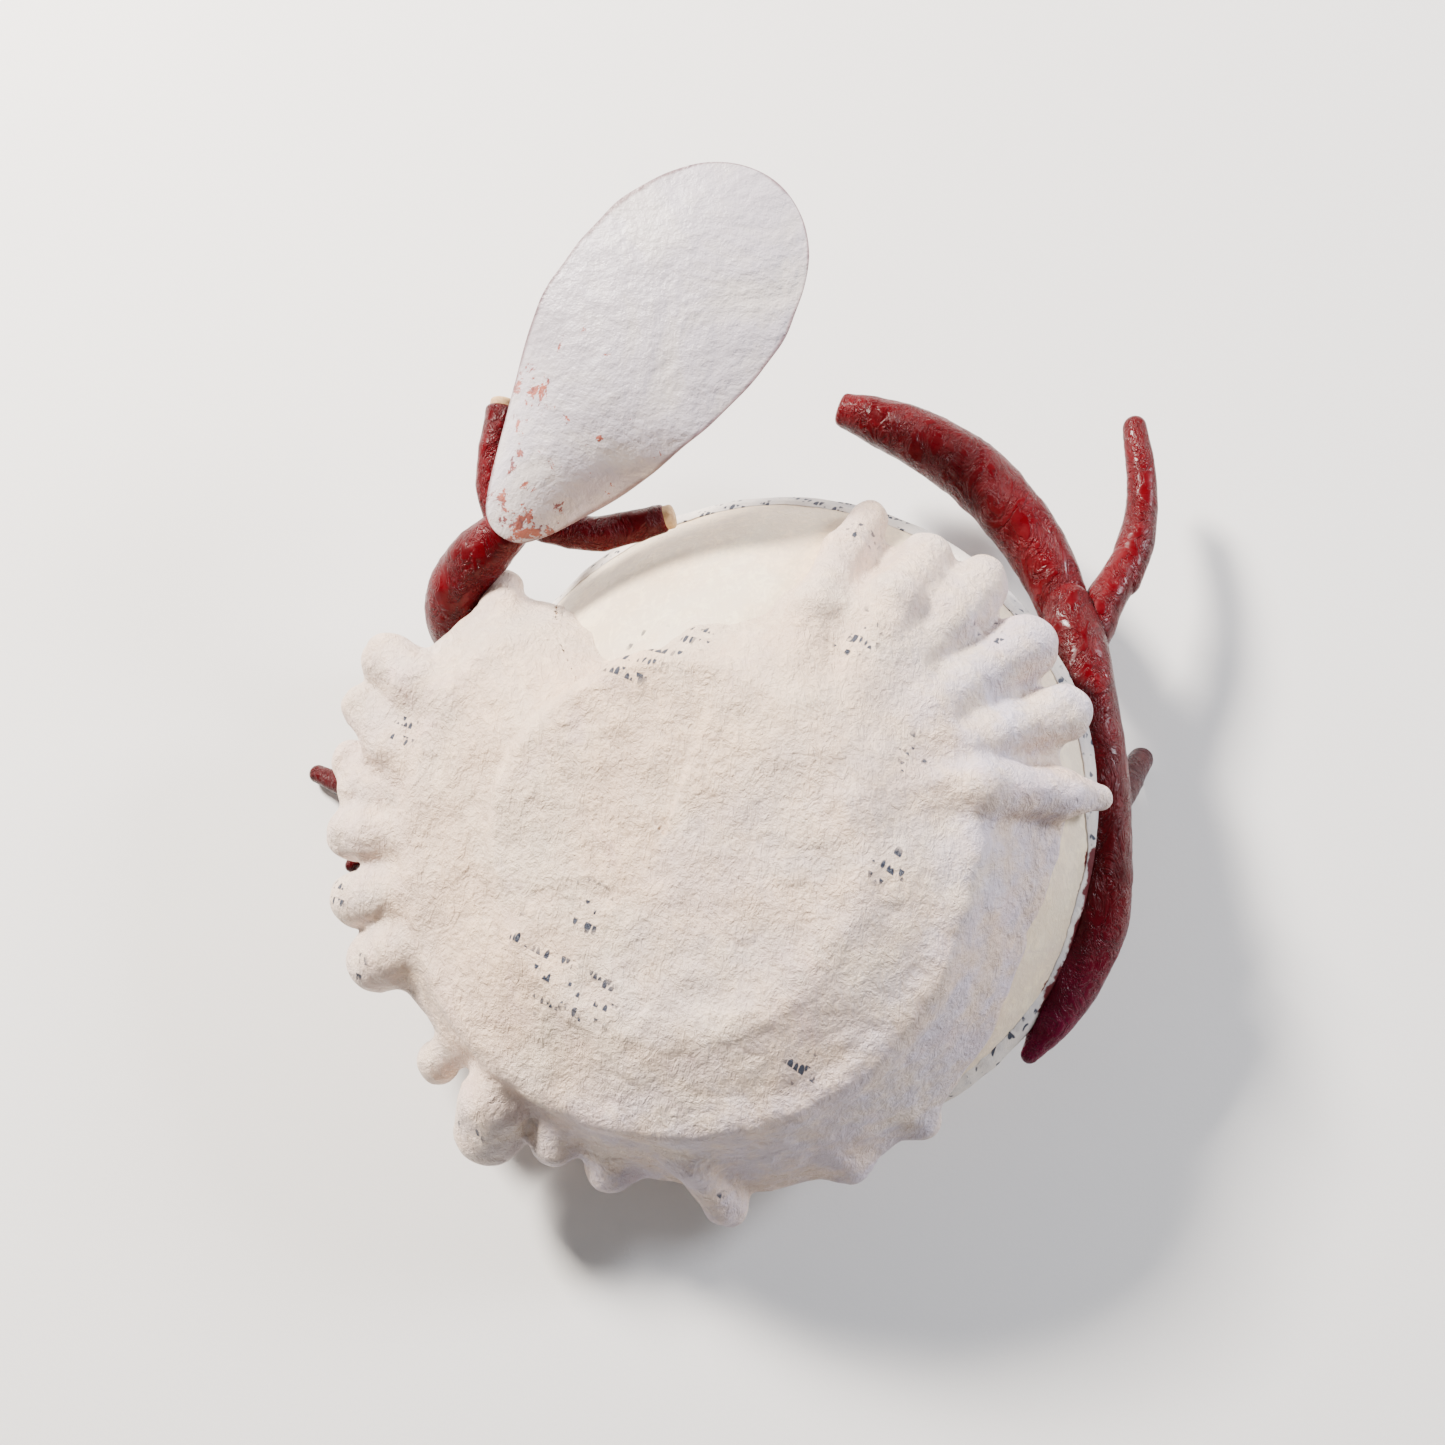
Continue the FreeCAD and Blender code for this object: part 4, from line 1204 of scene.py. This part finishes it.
def group_print_scraps():
    """Small dark marks in broken rows, where newsprint shows through. They are only
    random dashes."""
    tree, given, out = new_group(
        "Print scraps", {"Cover": ("NodeSocketFloat", 1.0)}, {"Mask": "NodeSocketFloat"}
    )
    place = add(tree, "ShaderNodeTexCoord").outputs["Object"]
    turned = add(tree, "ShaderNodeMapping", {"Vector": place, "Rotation": (0.4, 0.2, 0.5)}).outputs[0]
    split = add(tree, "ShaderNodeSeparateXYZ", {0: turned})
    rows = math_node(tree, "SINE", math_node(tree, "MULTIPLY", split.outputs[1], TAU / 0.0042))
    rows = ramp(tree, rows, -0.3, 0.1)
    dash_place = add(tree, "ShaderNodeMapping", {"Vector": turned, "Scale": (1.0, 0.4, 0.4)}).outputs[0]
    cells = add(tree, "ShaderNodeTexVoronoi", {"Vector": dash_place, "Scale": 820.0})
    dashes = ramp(tree, cells.outputs[0], 0.56, 0.44)
    picked = add(tree, "ShaderNodeSeparateColor", {0: cells.outputs["Color"]}).outputs[0]
    dashes = math_node(tree, "MULTIPLY", dashes, ramp(tree, picked, 0.30, 0.36))
    patches = ramp(tree, grain(tree, place, 120.0, 3.0, 0.6), 0.44, 0.50)
    mask = math_node(tree, "MULTIPLY", math_node(tree, "MULTIPLY", rows, dashes), patches)
    mask = math_node(tree, "MULTIPLY", mask, given.outputs["Cover"])
    tree.links.new(mask, out.inputs["Mask"])
    return tree


GROUPS = {}


def use_group(tree, name, inputs=None):
    """Places a shared node group, made the first time it is asked for."""
    makers = {
        "Pulp relief": group_pulp_relief,
        "Torn edge": group_torn_edge,
        "Print scraps": group_print_scraps,
    }
    if name not in GROUPS:
        GROUPS[name] = makers[name]()
    made = tree.nodes.new("ShaderNodeGroup")
    made.node_tree = GROUPS[name]
    feed(tree, made, inputs)
    return made.outputs[0]


def new_material(name):
    """A material with an empty Principled shader, and its tree."""
    material = bpy.data.materials.new(name)
    material.use_nodes = True
    tree = material.node_tree
    shader = tree.nodes["Principled BSDF"]
    return material, tree, shader


def bump(tree, shader, height, distance, strength=1.0):
    inputs = {"Height": height, "Distance": distance, "Strength": strength}
    tree.links.new(add(tree, "ShaderNodeBump", inputs).outputs[0], shader.inputs["Normal"])


def white_paint(name, base, relief, roughness, red_limit, print_share=1.0):
    """Off-white paint over pulp or paper: warm patches, a lilac tint that is painted shade and
    painted pearl sheen, painted shade in the relief's hollows, scraps of print, and red that strayed from
    the limbs beside it."""
    look = bpy.context.scene.sculpture_colours
    material, tree, shader = new_material(name)
    place = place_vector(tree)
    broad = grain(tree, place, 26.0, 4.0, 0.6, 0.5)
    patchy = grain(tree, place, 90.0, 5.0, 0.62)
    warm = tuple(channel * share for channel, share in zip(base, (1.02, 0.93, 0.86)))
    paint = blend(tree, ramp(tree, broad, 0.36, 0.62), colour(base), colour(warm))
    # Painted shade and painted pearl sheen: the lilac tint, by each point's lilac amount, in random patches.
    lilac_shade_sheen = math_node(tree, "MULTIPLY", attribute(tree, "lilac_shade_sheen"), ramp(tree, patchy, 0.36, 0.64, 0.15, 0.6))
    paint = blend(tree, lilac_shade_sheen, paint, colour(look.lilac))
    pink = ramp(tree, grain(tree, place, 48.0, 5.0, 0.66, 0.8), 0.55, 0.72, 0.0, 0.35)
    paint = blend(tree, pink, paint, (0.66, 0.44, 0.44, 1))
    height = use_group(tree, "Pulp relief")
    # Painted shade: the colour darkens where the relief's height is low, in its hollows.
    paint = blend(tree, ramp(tree, height, 0.46, 0.62, 0.28, 0.0), paint, (0.40, 0.30, 0.27, 1))
    scraps = use_group(tree, "Print scraps", {"Cover": attribute(tree, "print")})
    scraps = math_node(tree, "MULTIPLY", scraps, print_share)
    paint = blend(tree, scraps, paint, colour(look.ink))
    stray = use_group(tree, "Torn edge", {"Distance": attribute(tree, "red_gap"),
                                          "Limit": red_limit, "Tear": 5.0, "Soft": 0.7})
    paint = blend(tree, stray, paint, colour(look.red))
    tree.links.new(paint, shader.inputs["Base Color"])
    rough = ramp(tree, patchy, 0.3, 0.7, roughness - 0.1, roughness + 0.1)
    rough = math_node(tree, "MULTIPLY_ADD", stray, -0.22, rough)
    tree.links.new(rough, shader.inputs["Roughness"])
    shader.inputs["IOR"].default_value = 1.42
    bump(tree, shader, height, relief)
    return material


def red_paint(name, dark=1.0, thin_start=2.0, thin_end=3.0):
    """Gloss crimson over wrinkled paper: scuffed where it stands up, deeper in the
    creases, and thin enough near some limbs' ends to show pink."""
    look = bpy.context.scene.sculpture_colours
    material, tree, shader = new_material(name)
    place = place_vector(tree)
    broad = grain(tree, place, 60.0, 5.0, 0.6, 0.6)
    fine = grain(tree, place, 300.0, 4.0, 0.6)
    # A dark under 1 makes a copy of the crimson in painted shade.
    deep = tuple(channel * 0.68 * dark for channel in look.red)
    paint = blend(tree, ramp(tree, broad, 0.34, 0.62), colour(deep),
                  colour(tuple(channel * dark for channel in look.red)))
    bright = (0.12 * dark, 0.0, 0.0035, 1)
    paint = blend(tree, ramp(tree, fine, 0.52, 0.75, 0.0, 0.5), paint, bright)
    thin = ramp(tree, attribute(tree, "along"), thin_start, thin_end)
    thin = math_node(tree, "MULTIPLY", thin, ramp(tree, broad, 0.32, 0.55, 0.25, 1.0))
    paint = blend(tree, thin, paint, colour(look.magenta))
    creases = grain(tree, place_vector(tree, (1.0, 0.55, 1.0)), 150.0, 5.0, 0.65, 1.2)
    creases = math_node(tree, "ABSOLUTE", math_node(tree, "SUBTRACT", creases, 0.5))
    scuff_noise = grain(tree, place, 34.0, 6.0, 0.72)
    scuffs = math_node(tree, "MULTIPLY", ramp(tree, creases, 0.02, 0.0), ramp(tree, scuff_noise, 0.64, 0.70))
    paint = blend(tree, math_node(tree, "MULTIPLY", scuffs, 0.3), paint, (0.22, 0.03, 0.04, 1))
    tree.links.new(paint, shader.inputs["Base Color"])
    rough = ramp(tree, fine, 0.3, 0.7, 0.22, 0.36)
    tree.links.new(math_node(tree, "MULTIPLY_ADD", scuffs, 0.25, rough), shader.inputs["Roughness"])
    shader.inputs["Specular IOR Level"].default_value = 0.16
    height = math_node(tree, "MULTIPLY_ADD", ramp(tree, creases, 0.0, 0.09), 0.6,
                       math_node(tree, "MULTIPLY", fine, 0.4))
    bump(tree, shader, height, 0.0005)
    return material


def pearl_paint():
    """Pearl paint brushed along the leaf, lilac in the shade, with red and orange
    splashes towards the base and a dark edge."""
    look = bpy.context.scene.sculpture_colours
    material, tree, shader = new_material("pearl_leaf")
    along, across, edge = (attribute(tree, name) for name in ("along", "across", "edge"))
    laid = add(tree, "ShaderNodeCombineXYZ", {0: along, 1: across, 2: 0.0}).outputs[0]
    strokes = add(tree, "ShaderNodeMapping", {"Vector": laid, "Scale": (1.6, 9.0, 1.0)}).outputs[0]
    streak = grain(tree, strokes, 3.0, 6.0, 0.6, 0.4)
    place = place_vector(tree)
    broad = grain(tree, place, 30.0, 5.0, 0.62, 0.6)
    fine = grain(tree, place, 240.0, 5.0, 0.65)
    paint = blend(tree, ramp(tree, broad, 0.34, 0.62), colour(look.pearl), (0.47, 0.42, 0.50, 1))
    paint = blend(tree, ramp(tree, broad, 0.48, 0.66, 0.0, 0.45), paint, (0.66, 0.58, 0.48, 1))
    paint = blend(tree, ramp(tree, fine, 0.60, 0.78, 0.0, 0.35), paint, (0.34, 0.28, 0.33, 1))
    near_base = ramp(tree, along, 0.75, 0.02, 0.0, 1.0)
    splash = grain(tree, place, 95.0, 7.0, 0.74, 0.5)
    level = math_node(tree, "MULTIPLY_ADD", near_base, 0.15, splash)
    splashes = ramp(tree, level, 0.70, 0.72)
    red = blend(tree, ramp(tree, fine, 0.35, 0.6), (0.13, 0.001, 0.006, 1), (0.34, 0.05, 0.008, 1))
    paint = blend(tree, math_node(tree, "MULTIPLY", splashes, 0.9), paint, red)
    rim = math_node(tree, "MULTIPLY_ADD", math_node(tree, "SUBTRACT", broad, 0.5), -3.5, edge)
    rim = ramp(tree, rim, 1.1, 0.15)
    paint = blend(tree, math_node(tree, "MULTIPLY", rim, 0.7), paint, (0.10, 0.01, 0.015, 1))
    paint = blend(tree, attribute(tree, "under"), paint, colour(look.red))
    tree.links.new(paint, shader.inputs["Base Color"])
    rough = ramp(tree, streak, 0.3, 0.7, 0.30, 0.46)
    tree.links.new(rough, shader.inputs["Roughness"])
    shader.inputs["Coat Weight"].default_value = 0.25
    shader.inputs["Coat Roughness"].default_value = 0.3
    shader.inputs["Sheen Weight"].default_value = 0.15
    height = math_node(tree, "MULTIPLY_ADD", broad, 0.8, math_node(tree, "MULTIPLY", fine, 0.35))
    bump(tree, shader, height, 0.0024)
    return material


def torn_newsprint():
    """Greyish strip with flecks of print and red strayed from the limbs."""
    look = bpy.context.scene.sculpture_colours
    material, tree, shader = new_material("torn_newsprint")
    place = place_vector(tree)
    broad = grain(tree, place, 70.0, 5.0, 0.65)
    paint = blend(tree, ramp(tree, broad, 0.38, 0.62), (0.70, 0.62, 0.55, 1), (0.50, 0.46, 0.45, 1))
    scraps = use_group(tree, "Print scraps", {"Cover": 1.0})
    paint = blend(tree, scraps, paint, colour(look.ink))
    stray = use_group(tree, "Torn edge", {"Distance": attribute(tree, "red_gap"),
                                          "Limit": 1.0, "Tear": 4.0, "Soft": 0.8})
    paint = blend(tree, stray, paint, colour(look.red))
    tree.links.new(paint, shader.inputs["Base Color"])
    tree.links.new(ramp(tree, broad, 0.3, 0.7, 0.6, 0.8), shader.inputs["Roughness"])
    bump(tree, shader, use_group(tree, "Pulp relief"), 0.0004)
    return material


def plain_stuff(name, light, dark, scale, stretch, roughness, metallic=0.0):
    """A hidden or small part's finish: two tones of grain and a little bump."""
    material, tree, shader = new_material(name)
    fibres = grain(tree, place_vector(tree, stretch), scale, 5.0, 0.6, 0.3)
    paint = blend(tree, ramp(tree, fibres, 0.35, 0.65), (*light, 1), (*dark, 1))
    tree.links.new(paint, shader.inputs["Base Color"])
    shine = ramp(tree, fibres, 0.3, 0.7, roughness - 0.08, roughness + 0.08)
    tree.links.new(shine, shader.inputs["Roughness"])
    shader.inputs["Metallic"].default_value = metallic
    bump(tree, shader, fibres, 0.0002)
    return material


# ---------------------------------------------------------------------------
# Operators
# ---------------------------------------------------------------------------


class SCULPTURE_OT_bowl(bpy.types.Operator):
    """The bowl's smooth wall and the torn strip round its rim"""

    bl_idname = "sculpture.bowl"
    bl_label = "Bowl and rim strip"

    def execute(self, context):
        look = context.scene.sculpture_colours
        build_bowl(white_paint("cream_bowl", look.dome, 0.0004, 0.36, 2.0, 0.8))
        build_strip(torn_newsprint())
        return {"FINISHED"}


class SCULPTURE_OT_pulp(bpy.types.Operator):
    """The foot, the draped pulp round it and its toes"""

    bl_idname = "sculpture.pulp"
    bl_label = "Foot, draped pulp and toes"

    def execute(self, context):
        look = context.scene.sculpture_colours
        build_pulp(white_paint("white_pulp", look.pulp, 0.0020, 0.34, 3.0))
        return {"FINISHED"}


class SCULPTURE_OT_limbs(bpy.types.Operator):
    """The red limbs at the right, and the spike and barb under the left"""

    bl_idname = "sculpture.limbs"
    bl_label = "Red limbs"

    def execute(self, context):
        trunk = red_paint("crimson_trunk", 1.0, 0.55, 0.95)
        limb = red_paint("crimson_limb")
        # A darker copy of the crimson: painted shade for the stub, spike and barb, which lie low in shade
        # under the pulp.
        dark = red_paint("shaded_crimson", 0.55)
        build_limb("trunk", trunk, depth=0.6, seed=3)
        build_limb("arm_curved", limb, depth=0.7, seed=7, flat_tip=True)
        build_limb("arm_slim_lower", limb, depth=0.4, seed=11)
        build_limb("arm_slim_upper", limb, depth=0.4, seed=13)
        build_limb("stub_right", dark, depth=0.4, seed=17)
        build_limb("spike_left", dark, depth=0.4, seed=19)
        build_limb("barb_left", dark, depth=0.3, seed=23)
        return {"FINISHED"}


class SCULPTURE_OT_leaf(bpy.types.Operator):
    """The leaf with its stem, twigs and their bare ends"""

    bl_idname = "sculpture.leaf"
    bl_label = "Leaf, stem and twigs"

    def execute(self, context):
        limb = red_paint("crimson_stem")
        pale, tan = (0.60, 0.40, 0.20), (0.38, 0.22, 0.10)
        wood = plain_stuff("bare_twig", pale, tan, 500.0, (1, 1, 1), 0.7)
        build_leaf(pearl_paint())
        build_limb("stem", limb, depth=0.8, seed=29)
        build_limb("twig_left", limb, depth=0.5, seed=31, flat_tip=True)
        build_limb("twig_right", limb, depth=0.5, seed=37, flat_tip=True)
        build_bare_end("twig_left", "twig_left_end", wood, 41)
        build_bare_end("twig_right", "twig_right_end", wood, 43)
        return {"FINISHED"}


class SCULPTURE_OT_inner(bpy.types.Operator):
    """Finishes for the wires and cards inside"""

    bl_idname = "sculpture.inner"
    bl_label = "Wires and cards"

    def execute(self, context):
        grey, dark_grey = (0.32, 0.30, 0.28), (0.16, 0.13, 0.12)
        brown, dark_brown = (0.46, 0.33, 0.20), (0.36, 0.25, 0.15)
        wire = plain_stuff("iron_wire", grey, dark_grey, 400.0, (1, 1, 6), 0.4, 0.9)
        board = plain_stuff("brown_board", brown, dark_brown, 350.0, (1, 4, 1), 0.8)
        for name, item in frame["nodes"].items():
            if name.endswith("_wire") or name == "foot_card":
                item.data.materials.clear()
                item.data.materials.append(wire if name.endswith("_wire") else board)
        return {"FINISHED"}


class SCULPTURE_OT_stage(bpy.types.Operator):
    """Paper floor that sweeps up at the back, soft lights and the camera"""

    bl_idname = "sculpture.stage"
    bl_label = "Floor, lights and camera"

    def execute(self, context):
        build_floor()
        build_lights()
        build_camera()
        return {"FINISHED"}


def build_floor():
    """The floor: a sheet that lies flat and then sweeps up behind along a quarter circle."""
    look = bpy.context.scene.sculpture_colours
    front, flat_end, sweep, rise = -1.5, 0.9, 0.5, 0.6
    turn = np.linspace(0, math.pi / 2, 24)
    profile = np.concatenate((
        [(front, 0.0)],
        np.stack((flat_end + sweep * np.sin(turn), sweep * (1 - np.cos(turn))), -1),
        [(flat_end + sweep, sweep + rise)],
    ))
    across = np.linspace(-1.8, 1.8, 9)
    grid = np.stack(np.broadcast_arrays(across[None], profile[:, :1], profile[:, 1:]), -1)
    mesh = bpy.data.meshes.new("paper_floor")
    faces = grid_faces(len(profile), len(across))
    mesh.from_pydata(grid.reshape(-1, 3), [], faces.tolist())
    mesh.shade_smooth()
    material, tree, shader = new_material("floor_paper")
    mottle = grain(tree, place_vector(tree), 5.0, 4.0, 0.5)
    shade = tuple(channel * 0.96 for channel in look.floor)
    tree.links.new(blend(tree, mottle, colour(look.floor), colour(shade)), shader.inputs["Base Color"])
    tree.links.new(ramp(tree, mottle, 0.3, 0.7, 0.75, 0.9), shader.inputs["Roughness"])
    bump(tree, shader, grain(tree, place_vector(tree), 900.0, 3.0), 0.0001, 0.3)
    mesh.materials.append(material)
    floor = bpy.data.objects.new("paper_floor", mesh)
    bpy.context.scene.collection.objects.link(floor)


def area_light(name, way, distance, size, power, tint):
    """A square light a distance away in one direction, facing the object."""
    data = bpy.data.lights.new(name, "AREA")
    data.size = size
    data.energy = power
    data.color = tint
    lamp = bpy.data.objects.new(name, data)
    way = Vector(way).normalized()
    lamp.location = way * distance
    lamp.rotation_euler = way.to_track_quat("Z", "Y").to_euler()
    bpy.context.scene.collection.objects.link(lamp)


def build_lights():
    """A warm light from the back left, a cooler one from the right, and a pale world."""
    area_light("key_light", (-0.81, 0.84, 0.90), 1.3, 0.24, 78.0, (1.0, 0.94, 0.86))
    area_light("side_light", (1.62, 0.62, 1.0), 1.4, 0.30, 26.0, (0.88, 0.92, 1.0))
    world = bpy.data.worlds.new("studio")
    world.use_nodes = True
    shader = world.node_tree.nodes["Background"]
    shader.inputs["Color"].default_value = (0.95, 0.97, 1.0, 1)
    shader.inputs["Strength"].default_value = 0.30
    bpy.context.scene.world = world


# The camera looks down steeply from in front of the object.
CAMERA_PLACE = (-0.0019, -0.0832, 0.4206)
CAMERA_RISE = math.radians(78.0)
CAMERA_LENS = 38.6
CAMERA_SENSOR = 36.0
CAMERA_NEAR = 0.01


def build_camera():
    """The camera, a little in front of the object and looking down on it."""
    data = bpy.data.cameras.new("camera")
    data.lens = CAMERA_LENS
    data.sensor_width = CAMERA_SENSOR
    data.clip_start = CAMERA_NEAR
    camera = bpy.data.objects.new("camera", data)
    camera.location = CAMERA_PLACE
    camera.rotation_euler = (math.pi / 2 - CAMERA_RISE, 0, 0)
    bpy.context.scene.collection.objects.link(camera)
    bpy.context.scene.camera = camera


OPERATORS = (
    SCULPTURE_OT_stage,
    SCULPTURE_OT_bowl,
    SCULPTURE_OT_pulp,
    SCULPTURE_OT_limbs,
    SCULPTURE_OT_leaf,
    SCULPTURE_OT_inner,
)


class VIEW3D_PT_sculpture(bpy.types.Panel):
    """Lists what builds the sculpture"""

    bl_label = "Sculpture"
    bl_space_type = "VIEW_3D"
    bl_region_type = "UI"
    bl_category = "Sculpture"

    def draw(self, context):
        layout = self.layout
        for operator in OPERATORS:
            layout.operator(operator.bl_idname)
        for group in (context.scene.sculpture_sizes, context.scene.sculpture_colours):
            box = layout.box()
            for name in group.__annotations__:
                box.prop(group, name)


CLASSES = (SculptureSizes, SculptureColours, *OPERATORS, VIEW3D_PT_sculpture)


def register():
    for cls in CLASSES:
        bpy.utils.register_class(cls)
    bpy.types.Scene.sculpture_sizes = bpy.props.PointerProperty(type=SculptureSizes)
    bpy.types.Scene.sculpture_colours = bpy.props.PointerProperty(type=SculptureColours)


def unregister():
    del bpy.types.Scene.sculpture_colours
    del bpy.types.Scene.sculpture_sizes
    for cls in reversed(CLASSES):
        bpy.utils.unregister_class(cls)


def main():
    register()
    for operator in OPERATORS:
        group, name = operator.bl_idname.split(".")
        getattr(getattr(bpy.ops, group), name)()


if __name__ == "__main__":
    main()
